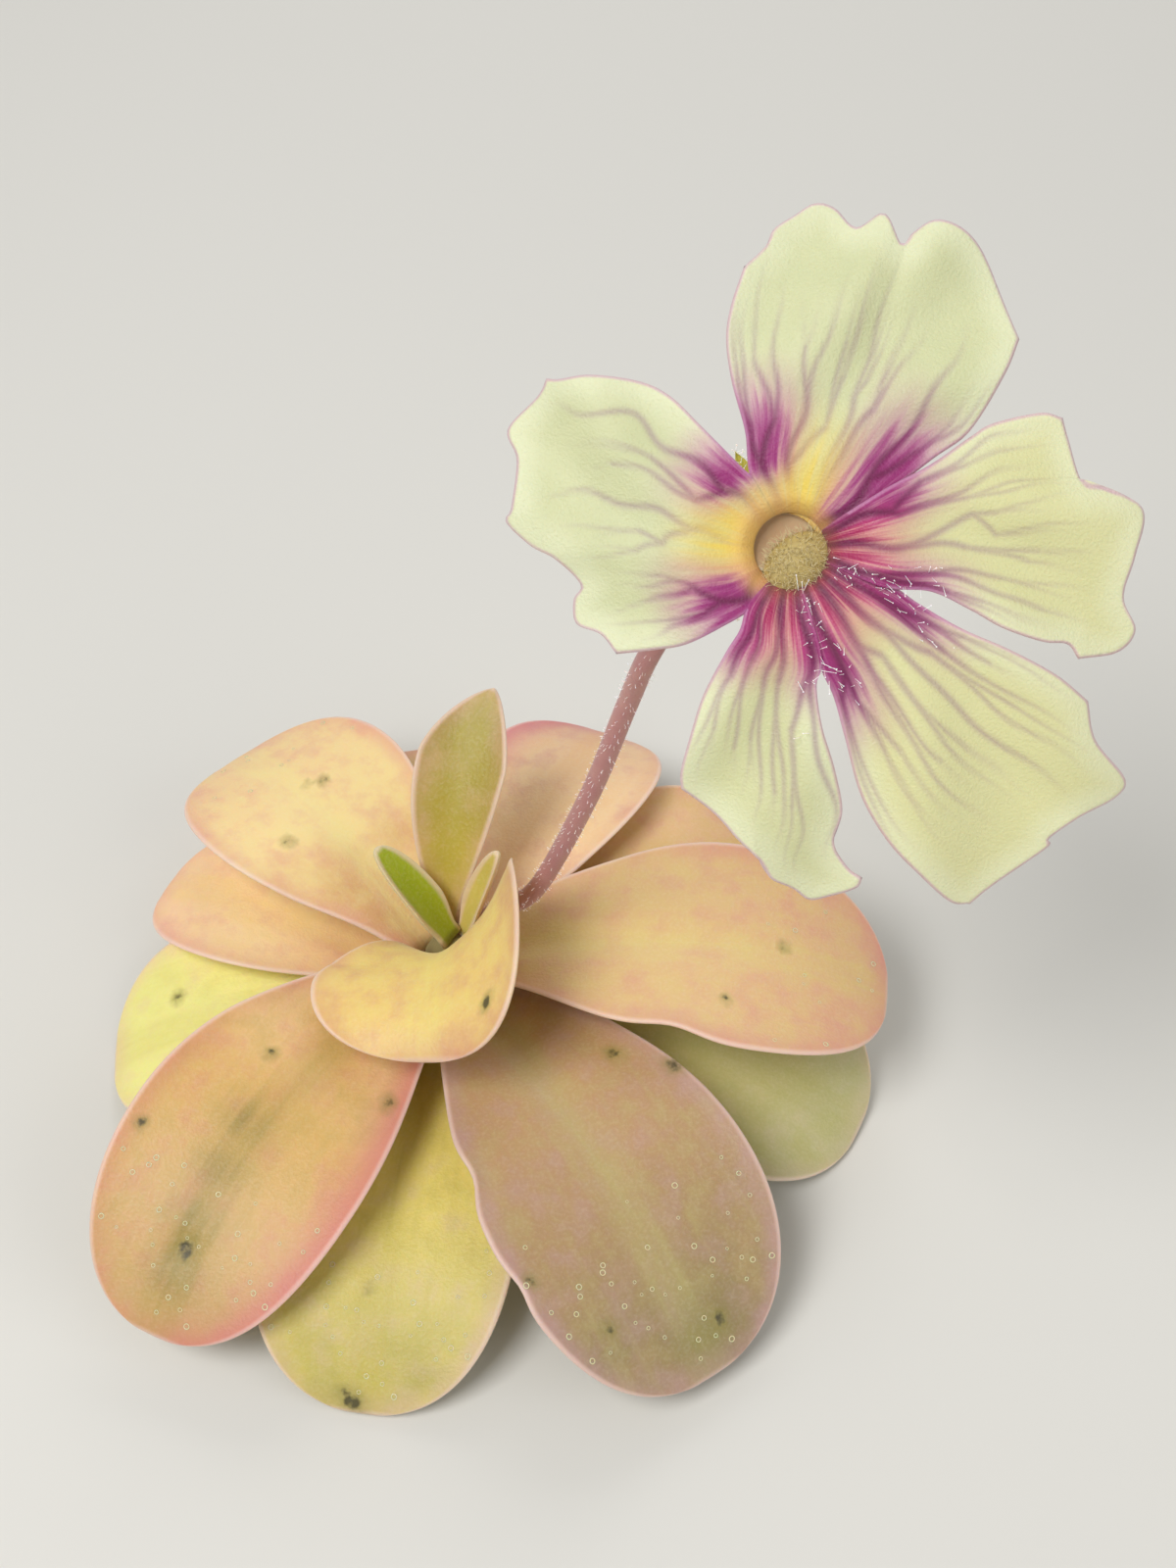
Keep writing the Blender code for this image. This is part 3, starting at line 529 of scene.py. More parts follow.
def stand_on_surface(tree, given, shape, lean):
    """Ends a growth tree with its shape stood all over the surface, each a little turned and scaled."""
    where = add_node(tree, "GeometryNodeInputNamedAttribute", {"Name": given["Where"]}, data_type="FLOAT")
    density = add_node(tree, "ShaderNodeMath", {0: given["Density"], 1: where.outputs[0]},
                       operation="MULTIPLY")
    spread = add_node(tree, "GeometryNodeDistributePointsOnFaces",
                      {"Mesh": given["Surface"], "Density": density.outputs[0], "Seed": given["Seed"]})
    back = add_node(tree, "ShaderNodeMath", {0: lean, 1: -1.0}, operation="MULTIPLY")
    turn = add_node(tree, "FunctionNodeRandomValue", {"Min": back.outputs[0], "Max": lean,
                                                      "Seed": given["Seed"]}, data_type="FLOAT_VECTOR")
    tilt = add_node(tree, "FunctionNodeEulerToRotation", {"Euler": turn.outputs[0]})
    stance = add_node(tree, "FunctionNodeRotateRotation", {"Rotation": spread.outputs["Rotation"],
                                                           "Rotate By": tilt.outputs[0]},
                      rotation_space="LOCAL")
    size = add_node(tree, "FunctionNodeRandomValue", {2: 0.6, 3: 1.25, "Seed": given["Seed"]},
                    data_type="FLOAT")
    stood = add_node(tree, "GeometryNodeInstanceOnPoints",
                     {"Points": spread.outputs["Points"], "Instance": shape,
                      "Rotation": stance.outputs[0], "Scale": size.outputs[1]})
    end_growth(tree, given, stood.outputs[0])


def ring_growth():
    """The tree that lays small round rings on a surface."""
    tree, given = growth_tree("ring growth", *SURFACE_INPUTS, ("Radius", "Float"), ("Girth", "Float"))
    circle = add_node(tree, "GeometryNodeCurvePrimitiveCircle", {"Resolution": 14, "Radius": given["Radius"]})
    section = add_node(tree, "GeometryNodeCurvePrimitiveCircle", {"Resolution": 6, "Radius": given["Girth"]})
    ring = add_node(tree, "GeometryNodeCurveToMesh", {"Curve": circle.outputs[0],
                                                      "Profile Curve": section.outputs[0]})
    level = add_node(tree, "ShaderNodeValue")
    stand_on_surface(tree, given, ring.outputs[0], level.outputs[0])
    return tree


def grow(name, base, tree, **inputs):
    """Runs a tree over a copy of a piece, its inputs by name, and keeps the result as a mesh."""
    piece = bpy.data.objects.new(name, base.data.copy())
    bpy.context.scene.collection.objects.link(piece)
    growth = piece.modifiers.new("growth", "NODES")
    growth.node_group = tree
    for socket in tree.interface.items_tree:
        if socket.in_out == "INPUT" and socket.name in inputs:
            growth[socket.identifier] = inputs[socket.name]
    graph = bpy.context.evaluated_depsgraph_get()
    result = bpy.data.meshes.new_from_object(piece.evaluated_get(graph))
    piece.modifiers.clear()
    piece.data = result
    result.name = name
    return piece


# Painted highlight: pale opaque rings stand for the light that the rims of the clear drops catch.
# The mucilage is thick as glycerine, and the rings have a sharp highlight of their own.
dew = empty_material("painted highlight of dew drops")
tree = dew.node_tree
ripple = add_node(tree, "ShaderNodeTexNoise", {"Scale": 1500.0}).outputs["Fac"]
surfaced(tree, painted(tree, colour_of("#F4E2BC"), (ripple, "#E8CFA0")), ripple, 0.01, Roughness=0.12,
         Subsurface_Weight=0.5, Subsurface_Scale=0.0004)

RING_GROWTH = ring_growth()
for recipe in LEAVES:
    if "dewy" in recipe:
        drops = grow(recipe["name"] + "_dew", leaf_pieces[recipe["name"]], RING_GROWTH,
                     Density=DEW_PER_SQUARE_METRE * recipe["dewy"], Where="dewy", Seed=3, Material=dew,
                     Radius=DEW_RADIUS * METRES_PER_MM, Girth=DEW_GIRTH * METRES_PER_MM)
        placed(drops, recipe.get("slot", "leaf_blush"))


# The scape. The leafless flower stalk, mauve-pink and downy with short glandular hairs. It grows
# from the side of the crown and bends over at its top into the back of the flower.
SCAPE_RADIUS = 0.95
SCAPE_TOP_RADIUS = 0.8
SCAPE_ROUTE = ((3.5, 2.1, 12.2), (5.5, 1.6, 15.0), (9.1, -0.1, 20.5), (14.0, -3.7, 38.3),
               (17.1, -6.9, 53.8), (18.8, -9.8, 63.1), (22.8, -7.7, 69.8), (25.6, -6.4, 73.0))
THROAT = np.array((26.8, -16.7, 79.7))
FLOWER_FACING = (-0.10, -0.73, 0.68)
FLOWER_TURN = 35.0
TUBE_LENGTH = 6.0
# How far behind the throat the stalk ends, in the calyx
CALYX_BACK = -TUBE_LENGTH - 2.3
SCAPE_POINTS = 130
SCAPE_SIDES = 20
# Hairs: how many stand on a square metre, their sizes in metres, how far they lean in radians,
# and the seed that scatters them
SCAPE_HAIRS = dict(Density=1500000.0, Length=0.00026, Radius=0.00002, Head=0.00004, Lean=0.5, Seed=5)


def flower_axes():
    """The flower's right, up and forward as one faces it."""
    forward = unit(FLOWER_FACING)
    right = unit(np.array((1.0, 0.0, 0.0)) - forward * forward[0])
    return right, np.cross(forward, right), forward


FLOWER_RIGHT, FLOWER_UP, FLOWER_FORWARD = flower_axes()


def in_flower(x, y, z):
    """The point x to the right of the throat, y above it and z in front of it."""
    return THROAT + FLOWER_RIGHT * x + FLOWER_UP * y + FLOWER_FORWARD * z


def at_bearing(degrees, radius, z):
    """A point round the flower's axis. 0 is the middle of the upper lip, anticlockwise as faced."""
    angle = math.radians(90 + FLOWER_TURN + degrees)
    return in_flower(radius * math.cos(angle), radius * math.sin(angle), z)


def smooth_path(points, samples):
    """Evenly numbered places along a Catmull-Rom curve through the points."""
    knots = np.array(points, float)
    knots = np.vstack([2 * knots[0] - knots[1], knots, 2 * knots[-1] - knots[-2]])
    places = []
    for k in range(samples):
        where = k / (samples - 1) * (len(points) - 1)
        i = min(int(where), len(points) - 2)
        t = where - i
        a, b, c, d = knots[i:i + 4]
        places.append(0.5 * (2 * b + (c - a) * t + (2 * a - 5 * b + 4 * c - d) * t * t
                             + (3 * b - a - 3 * c + d) * t ** 3))
    return np.array(places)


def swept_stalk():
    """The tree that sweeps a round section along a path, as wide as the path's attribute says."""
    tree, given = growth_tree("swept stalk", ("Path", "Geometry"), ("Sides", "Int"))
    girth = add_node(tree, "GeometryNodeInputNamedAttribute", {"Name": "girth"}, data_type="FLOAT")
    line = add_node(tree, "GeometryNodeMeshToCurve", {"Mesh": given["Path"]})
    ring = add_node(tree, "GeometryNodeCurvePrimitiveCircle", {"Resolution": given["Sides"], "Radius": 1.0})
    tube = add_node(tree, "GeometryNodeCurveToMesh", {"Curve": line.outputs[0],
                                                      "Profile Curve": ring.outputs[0],
                                                      "Scale": girth.outputs[0], "Fill Caps": True})
    end_growth(tree, given, tube.outputs[0])
    return tree


SWEPT_STALK = swept_stalk()


def stalk(name, places, radii, sides, material):
    """A stalk swept along places in millimetres, which carries how far along it a point is."""
    count = len(places)
    mesh = bpy.data.meshes.new(name)
    mesh.from_pydata([tuple(p * METRES_PER_MM) for p in places], [(k, k + 1) for k in range(count - 1)], [])
    carry(mesh, girth=np.asarray(radii, np.float32) * METRES_PER_MM, along=np.linspace(0, 1, count),
          hairy=np.ones(count))
    path = bpy.data.objects.new(name + "_path", mesh)
    piece = grow(name, path, SWEPT_STALK, Sides=sides, Material=material)
    bpy.data.objects.remove(path)
    return piece


# Skin of the stalk, living and downy: mauve-pink in blotches of 2 mm, and paler towards its foot.
scape_skin = empty_material("downy stalk skin")
tree = scape_skin.node_tree
along, = read_attributes(tree, "along")
place = add_node(tree, "ShaderNodeTexCoord").outputs["Object"]
blotch = add_node(tree, "ShaderNodeTexNoise", {"Vector": place, "Scale": 500.0, "Detail": 4.0}).outputs["Fac"]
down = add_node(tree, "ShaderNodeTexNoise", {"Vector": place, "Scale": 5000.0}).outputs["Fac"]
foot = add_node(tree, "ShaderNodeMapRange", {"Value": along, "From Min": 0.3, "From Max": 0.0, "To Max": 0.6})
surfaced(tree, painted(tree, colour_of("#B5757A"), (blotch, "#C4928C"), (foot.outputs[0], "#CFA392")),
         down, 0.04, Roughness=0.5, Subsurface_Weight=0.15, Subsurface_Radius=(1.0, 0.5, 0.4),
         Subsurface_Scale=0.0008, Sheen_Weight=0.3, Sheen_Roughness=0.4)

scape_places = smooth_path(SCAPE_ROUTE + (tuple(in_flower(0, 0, CALYX_BACK)),), SCAPE_POINTS)
scape_radii = np.linspace(SCAPE_RADIUS, SCAPE_TOP_RADIUS, SCAPE_POINTS)
scape = stalk("scape_stalk", scape_places, scape_radii, SCAPE_SIDES, scape_skin)
placed(scape, "scape_skin", "scape")

# Glandular hair, a clear stalk with a drop on its head: drawn a little thicker than life to show,
# with a faint glow for the light that a clear hair gathers.
hair = empty_material("glandular hair")
tree = hair.node_tree
fine = add_node(tree, "ShaderNodeTexNoise", {"Scale": 4000.0}).outputs["Fac"]
surfaced(tree, painted(tree, colour_of("#FFFFFF"), (fine, "#FBEFEA")), fine, 0.01, Roughness=0.25,
         Emission_Color=colour_of("#FFF4F0"), Emission_Strength=0.22,
         Subsurface_Weight=0.4, Subsurface_Scale=0.0003)


def hair_growth():
    """The tree that stands hairs on a surface, each a tapered stalk with a round head."""
    tree, given = growth_tree("hair growth", *SURFACE_INPUTS, ("Length", "Float"), ("Radius", "Float"),
                              ("Head", "Float"), ("Lean", "Float"))
    tip = add_node(tree, "ShaderNodeMath", {0: given["Radius"], 1: 0.5}, operation="MULTIPLY")
    stem = add_node(tree, "GeometryNodeMeshCone", {"Vertices": 4, "Radius Top": tip.outputs[0],
                                                   "Radius Bottom": given["Radius"],
                                                   "Depth": given["Length"]})
    ball = add_node(tree, "GeometryNodeMeshIcoSphere", {"Radius": given["Head"], "Subdivisions": 1})
    top = add_node(tree, "ShaderNodeCombineXYZ", {"Z": given["Length"]})
    head = add_node(tree, "GeometryNodeTransform", {"Geometry": ball.outputs["Mesh"],
                                                    "Translation": top.outputs[0]})
    shape = add_node(tree, "GeometryNodeJoinGeometry", {"Geometry": stem.outputs["Mesh"]})
    tree.links.new(head.outputs[0], shape.inputs[0])
    stand_on_surface(tree, given, shape.outputs[0], given["Lean"])
    return tree


HAIR_GROWTH = hair_growth()
scape_hairs = grow("scape_hairs", scape, HAIR_GROWTH, Where="hairy", Material=hair, **SCAPE_HAIRS)
placed(scape_hairs, "scape_skin")


def gathered(*shells):
    """Several skins as the points and faces of one mesh."""
    points, faces = [], []
    for shell_points, shell_faces in shells:
        faces += [tuple(k + len(points) for k in face) for face in shell_faces]
        points += shell_points
    return points, faces


# The calyx. A small green cup behind the flower with five pointed, downy sepals, one growth with
# the stalk's end. The tip of one shows between the lobes of the flower.
SEPAL_LENGTH = 6.6
SEPAL_WIDTH = 2.3
# Sepals: the bearing of each round the flower and its length as a share of the whole
SEPALS = ((-8, 1.05), (60, 1.0), (-60, 1.0), (108, 0.76), (-146, 1.05))
CUP_FRONT = -TUBE_LENGTH - SEAT_GAP
# The cup: places along the flower's axis, and the radius at each
CUP_STATIONS = ((CUP_FRONT, 1.2), (CUP_FRONT, 2.2), (CUP_FRONT - 0.15, 2.4), (CUP_FRONT - 0.6, 2.55),
                (CUP_FRONT - 1.1, 2.25), (CUP_FRONT - 1.6, 1.7), (CALYX_BACK, 1.0),
                (-TUBE_LENGTH - 2.4, 0.5))
CUP_SIDES = 48
CALYX_HAIRS = dict(Density=6000000.0, Length=0.0004, Radius=0.00003, Head=0.00006, Lean=0.5, Seed=6)

# Young leaf tissue, waxy and downy: yellow-green, in paler and darker blotches.
sepal_tissue = empty_material("sepal tissue")
tree = sepal_tissue.node_tree
place = add_node(tree, "ShaderNodeTexCoord").outputs["Object"]
blotch = add_node(tree, "ShaderNodeTexNoise", {"Vector": place, "Scale": 600.0, "Detail": 4.0}).outputs["Fac"]
down = add_node(tree, "ShaderNodeTexNoise", {"Vector": place, "Scale": 4000.0}).outputs["Fac"]
surfaced(tree, painted(tree, colour_of("#F0EE78"), (blotch, "#D6D268")), down, 0.06, Roughness=0.5,
         Subsurface_Weight=0.2, Subsurface_Radius=(0.8, 0.8, 0.3), Subsurface_Scale=0.001,
         Sheen_Weight=0.2, Sheen_Roughness=0.4)


def sepal(bearing, share):
    """One sepal, splayed out and forward from the cup, thin at its edges and pointed."""
    across = unit(at_bearing(bearing + 90, 1, 0) - THROAT)
    outward = unit(at_bearing(bearing, 0.55, -0.83) - THROAT)
    shares = np.sin(0.5 * math.pi * np.linspace(-1, 1, 13))
    loops = []
    for t in np.concatenate((np.linspace(0, 0.9, 22), (0.94, 0.97, 0.985, 0.995))):
        forward = SEPAL_LENGTH * share * (0.25 * t + 0.32 * t * t)
        centre = at_bearing(bearing, 1.6 + 0.8 * SEPAL_LENGTH * share * t, CUP_FRONT - 0.9 + forward)
        half = 0.5 * SEPAL_WIDTH * (0.75 + 0.5 * t) * (1 - t ** 2.4)
        front, rear = [], []
        for u in shares:
            point = centre + across * half * u - outward * 0.25 * u * u
            thick = 0.32 * math.sqrt(max(0.0, 1 - u ** 4)) * min(1.0, 6 * (1 - t)) + 0.01
            front.append(point + outward * (0.32 - thick))
            rear.append(point + outward * (0.32 + thick))
        loops.append(front + rear[::-1])
    return skin(loops)


turns = np.linspace(0, 360, CUP_SIDES, endpoint=False)
cup = skin([[at_bearing(turn, radius, z) for turn in turns] for z, radius in CUP_STATIONS])
calyx_points, calyx_faces = gathered(cup, *[sepal(*place) for place in SEPALS])
calyx = made("calyx_sepals", calyx_points, calyx_faces, sepal_tissue, hairy=np.ones(len(calyx_points)))
placed(calyx, "sepal_green", "calyx")
calyx_hairs = grow("calyx_hairs", calyx, HAIR_GROWTH, Where="hairy", Material=hair, **CALYX_HAIRS)
placed(calyx_hairs, "sepal_green")

# The flower's tube. A short thin-walled funnel, flesh-pink inside, which the five lobes grow out
# of: they turn over its lip and cover it. Behind it hangs the slender spur that holds the nectar.
TUBE_WALL = 0.6
TUBE_TOP = -1.4
# Places along the flower's axis, and the tube's outer radius at each
TUBE_STATIONS = ((-0.8, 3.0), (-3.0, 2.75), (-6.0, 2.6))
TUBE_ROWS = 26
TUBE_SIDES = 72
SPUR_LENGTH = 15.0
SPUR_RADII = (1.25, 0.5)
SPUR_TIP_RADII = (0.42, 0.15)
SPUR_POINTS = 60
SPUR_SIDES = 18

# Petal tissue of the tube: yellow at the lip, paler and flushed inside, with faint dark lines.
tube_tissue = empty_material("petal tissue of the tube")
tree = tube_tissue.node_tree
depth_in, inside, turn_round = read_attributes(tree, "depth", "inside", "turn")
lip = add_node(tree, "ShaderNodeMapRange", {"Value": depth_in, "From Min": 1.4, "From Max": 0.2},
               interpolation_type="SMOOTHSTEP").outputs["Result"]
line_space = add_node(tree, "ShaderNodeCombineXYZ", {"X": turn_round, "Y": depth_in}).outputs["Vector"]
lines = add_node(tree, "ShaderNodeTexNoise", {"Vector": line_space, "Scale": 0.25,
                                              "Detail": 3.0}).outputs["Fac"]
surfaced(tree, painted(tree, colour_of("#D9D2A0"), (inside, "#E2C0A2"), (lines, "#D2B090"),
                       (lip, "#E6C070")),
         lines, 0.1, Roughness=0.5, Subsurface_Weight=0.3, Subsurface_Radius=(1.0, 0.6, 0.4),
         Subsurface_Scale=0.001)

wall_z = np.linspace(TUBE_TOP, -TUBE_LENGTH, TUBE_ROWS)
outer_radius = np.interp(-wall_z, [-z for z, _ in TUBE_STATIONS], [r for _, r in TUBE_STATIONS])
tube_loops, tube_notes = [], []
for turn in np.linspace(0, 360, TUBE_SIDES, endpoint=False):
    outer = [at_bearing(turn, r, z) for z, r in zip(wall_z, outer_radius)]
    inner = [at_bearing(turn, r - TUBE_WALL, z) for z, r in zip(wall_z, outer_radius)]
    tube_loops.append(outer + inner[::-1])
    tube_notes += [(TUBE_TOP - z, 0.0, turn) for z in wall_z]
    tube_notes += [(TUBE_TOP - z, 1.0, turn) for z in wall_z[::-1]]
tube_noted = dict(zip(("depth", "inside", "turn"), np.array(tube_notes).T))
tube = made("corolla_tube", *skin(tube_loops, closed=True), tube_tissue, **tube_noted)
placed(tube, "petal_cream", "corolla")

spur_root = [at_bearing(180, 1.9 + 0.9 * k, -4.0 - 0.45 * k) for k in range(2)]
spur_down = unit(in_flower(0, 0, -0.75) - THROAT - 0.65 * unit(at_bearing(0, 1, 0) - THROAT))
spur_route = spur_root + [spur_root[1] + spur_down * SPUR_LENGTH * t + np.array((0, 0, -1.4)) * t * t
                          for t in (0.33, 0.67, 1.0)]
spur_radii = np.interp(np.linspace(0, 1, SPUR_POINTS), (0, 0.9, 0.97, 1.0), SPUR_RADII + SPUR_TIP_RADII)

# Petal tissue of the spur: pale, flushed with mauve towards its tip, a little shiny.
spur_tissue = empty_material("petal tissue of the spur")
tree = spur_tissue.node_tree
along, = read_attributes(tree, "along")
place = add_node(tree, "ShaderNodeTexCoord").outputs["Object"]
blotch = add_node(tree, "ShaderNodeTexNoise", {"Vector": place, "Scale": 500.0, "Detail": 4.0}).outputs["Fac"]
surfaced(tree, painted(tree, colour_of("#DCD2A4"), (along, "#B58A9C"), (blotch, "#D8B8A8")), blotch, 0.08,
         Roughness=0.42, Subsurface_Weight=0.3, Subsurface_Radius=(1.0, 0.6, 0.4), Subsurface_Scale=0.001)
spur_places = smooth_path([tuple(p) for p in spur_route], SPUR_POINTS)
spur = stalk("spur_stalk", spur_places, spur_radii, SPUR_SIDES, spur_tissue)
placed(spur, "petal_cream", "corolla")

# The pistil and stamens. A round green ovary sits in the bottom of the tube, between two short
# arched filaments with a pale anther each, and bears a cupped flesh-brown flap, the stigma.
# Its stations are heights above the tube's foot, with its radius at each.
PISTIL_STATIONS = ((0.0, 0.45), (0.35, 0.75), (0.9, 0.85), (1.5, 0.62), (1.9, 0.35), (2.3, 0.3),
                   (2.45, 0.75), (2.75, 0.8), (2.9, 0.5), (3.1, 0.3), (3.85, 0.3))
STIGMA_PLACE = (-0.5, 0.8, -2.4)
STIGMA_SPAN = (2.5, 2.4)
STIGMA_REACH = 2.3
STIGMA_CUP = 1.1
STIGMA_THICKNESS = 0.22
STIGMA_RINGS = 18
STIGMA_SIDES = 48
STAMEN_BEARING = 75
# A filament's distance from the flower's axis and its height above the tube's foot, in turn
FILAMENT_STATIONS = ((1.4, 0.1), (1.42, 1.0), (1.3, 2.0))
# Shares of its length, and its radius at each: it swells into its anther
FILAMENT_SHARES = (0, 0.5, 0.65, 0.78, 0.9, 1.0)
FILAMENT_RADII = (0.22, 0.22, 0.32, 0.4, 0.34, 0.12)
FILAMENT_POINTS = 26
FILAMENT_SIDES = 14

# Ovary tissue: smooth living green with a fine wet grain.
ovary_tissue = empty_material("ovary tissue")
tree = ovary_tissue.node_tree
grain = add_node(tree, "ShaderNodeTexNoise", {"Scale": 3000.0, "Detail": 3.0}).outputs["Fac"]
surfaced(tree, painted(tree, colour_of("#BDC070"), (grain, "#8E9A4C")), grain, 0.04, Roughness=0.35)
pistil_z = np.concatenate((np.linspace(0, 2.3, 24), np.linspace(2.35, 3.85, 24)))
pistil_radius = np.interp(pistil_z, *zip(*PISTIL_STATIONS))
pistil = skin([[at_bearing(turn, r, z - TUBE_LENGTH) for turn in turns]
               for z, r in zip(pistil_z, pistil_radius)])
placed(made("pistil_ovary", *pistil, ovary_tissue), "pistil_green", "pistil")

# Stigma tissue: moist and flesh-brown, paler along its thin rim.
stigma_tissue = empty_material("stigma tissue")
tree = stigma_tissue.node_tree
rim, = read_attributes(tree, "rim")
grain = add_node(tree, "ShaderNodeTexNoise", {"Scale": 1500.0, "Detail": 3.0}).outputs["Fac"]
surfaced(tree, painted(tree, colour_of("#ECC8A0"), (grain, "#D6AC86"), (rim, "#F8E8CA")), grain, 0.04,
         Roughness=0.4, Subsurface_Weight=0.4, Subsurface_Radius=(1.0, 0.6, 0.4), Subsurface_Scale=0.0008)
stigma_loops, stigma_notes = [], []
shares = np.sin(0.5 * math.pi * np.linspace(0.02, 1, STIGMA_RINGS))
for side, steps_out in ((0.5, shares), (-0.5, shares[::-1])):
    for share in steps_out:
        thick = side * STIGMA_THICKNESS * math.sqrt(1 - share ** 8 * 0.96)
        loop = []
        for a in np.linspace(0, 2 * math.pi, STIGMA_SIDES, endpoint=False):
            x = STIGMA_PLACE[0] + STIGMA_SPAN[0] * share * math.cos(a)
            y = STIGMA_PLACE[1] + STIGMA_SPAN[1] * share * math.sin(a)
            kept = min(1.0, STIGMA_REACH * (0.9 + 0.1 * share) / math.hypot(x, y))
            loop.append(in_flower(x * kept, y * kept, STIGMA_PLACE[2] + STIGMA_CUP * share * share + thick))
        stigma_loops.append(loop)
        stigma_notes += [max(0.0, share - 0.9) * 10] * STIGMA_SIDES
stigma = made("pistil_stigma", *skin(stigma_loops), stigma_tissue, rim=stigma_notes)
placed(stigma, "pistil_green", "pistil")

# Anther: dull cream, powdery with pollen.
anther_tissue = empty_material("pollen-dusted anther")
tree = anther_tissue.node_tree
pollen = add_node(tree, "ShaderNodeTexVoronoi", {"Scale": 8000.0}).outputs["Distance"]
surfaced(tree, painted(tree, colour_of("#E4D29A"), (pollen, "#C9A860")), pollen, 0.04, Roughness=0.8)
for side_name, bearing in (("left", STAMEN_BEARING), ("right", -STAMEN_BEARING)):
    route = [tuple(at_bearing(bearing, r, -TUBE_LENGTH + z)) for r, z in FILAMENT_STATIONS]
    radii = np.interp(np.linspace(0, 1, FILAMENT_POINTS), FILAMENT_SHARES, FILAMENT_RADII)
    filament = stalk("filament_" + side_name, smooth_path(route, FILAMENT_POINTS), radii, FILAMENT_SIDES,
                     anther_tissue)
    placed(filament, "anther_cream", "stamen_" + side_name)

# The palate. The swollen floor of the mouth, olive yellow and covered in short soft bristles.
# It is one growth with the lower lip. Its place is a bearing, a distance from the flower's axis
# and a place along it, and its span is three radii.
PALATE_PLACE = (187, 1.45, -1.45)
PALATE_SPAN = (2.6, 1.9, 1.2)
PALATE_RINGS = 30
PALATE_SIDES = 36
PALATE_BRISTLES = dict(Density=26000000.0, Length=0.0006, Radius=0.00002, Head=0.00002, Lean=0.8, Seed=8)
palate_across = at_bearing(PALATE_PLACE[0] + 90, 1, 0) - THROAT
palate_outward = at_bearing(PALATE_PLACE[0], 1, 0) - THROAT
palate_loops = []
for share in np.linspace(-0.995, 0.995, PALATE_RINGS):
    ring = math.sqrt(1 - share * share)
    centre = at_bearing(*PALATE_PLACE[:2], PALATE_PLACE[2] + PALATE_SPAN[2] * share)
    palate_loops.append([centre + ring * (palate_across * PALATE_SPAN[0] * math.cos(a)
                                          + palate_outward * PALATE_SPAN[1] * math.sin(a))
                         for a in np.linspace(0, 2 * math.pi, PALATE_SIDES, endpoint=False)])
palate_points, palate_faces = skin(palate_loops)

# Palate tissue: olive yellow, bumpy and mottled darker with a grain of half a millimetre.
palate_tissue = empty_material("palate tissue")
tree = palate_tissue.node_tree
place = add_node(tree, "ShaderNodeTexCoord").outputs["Object"]
grain = add_node(tree, "ShaderNodeTexNoise", {"Vector": place, "Scale": 1800.0, "Detail": 3.0}).outputs["Fac"]
surfaced(tree, painted(tree, colour_of("#CDB674"), (grain, "#A8965C")), grain, 0.12, Roughness=0.6,
         Subsurface_Weight=0.3, Subsurface_Radius=(0.8, 0.7, 0.3), Subsurface_Scale=0.0008)
palate = made("palate_swelling", palate_points, palate_faces, palate_tissue,
              hairy=np.ones(len(palate_points)))
placed(palate, "petal_cream", "corolla")

# Palate bristle: pale straw, fine and dry.
bristle = empty_material("palate bristle")
tree = bristle.node_tree
fine = add_node(tree, "ShaderNodeTexNoise", {"Scale": 3000.0}).outputs["Fac"]
surfaced(tree, painted(tree, colour_of("#F4E8C0"), (fine, "#DCCC94")), fine, 0.01, Roughness=0.45)
bristles = grow("palate_bristles", palate, HAIR_GROWTH, Where="hairy", Material=bristle, **PALATE_BRISTLES)
placed(bristles, "petal_cream")

# The lobes. Five thin cream lobes grown out of the mouth of the tube, two above and three below,
# each with a waved edge, purple veins that fork as they fan out, and a stain of colour at its base.
LOBE_THICKNESS = 0.5
LOBE_ROOT_RADIUS = 2.35
LOBE_ROOT_SHIFT = 0.4
LOBE_ROWS = 84
LOBE_COLUMNS = 84
EDGE_ROUNDING = 0.3
THROAT_DIP = 1.1
SHOULDER_HEIGHT = 0.8
LOBE_SWEEP = 3.2
WAVE_HEIGHT = 0.55
# How strong the orange tint round the throat is, for each colour of a lobe's heart
LIP_TINT = {"yellow": 0.7, "crimson": 0.15}
LOBE_HAIRS = dict(Density=2000000.0, Length=0.001, Radius=0.000028, Head=0.00005, Lean=0.4)
# Veins: how far along the lobe each level forks, how wide it is and how dark
VEIN_LEVELS = ((0.2, 0.30, 1.0), (0.38, 0.25, 0.95), (0.6, 0.2, 0.8), (0.95, 0.17, 0.65))
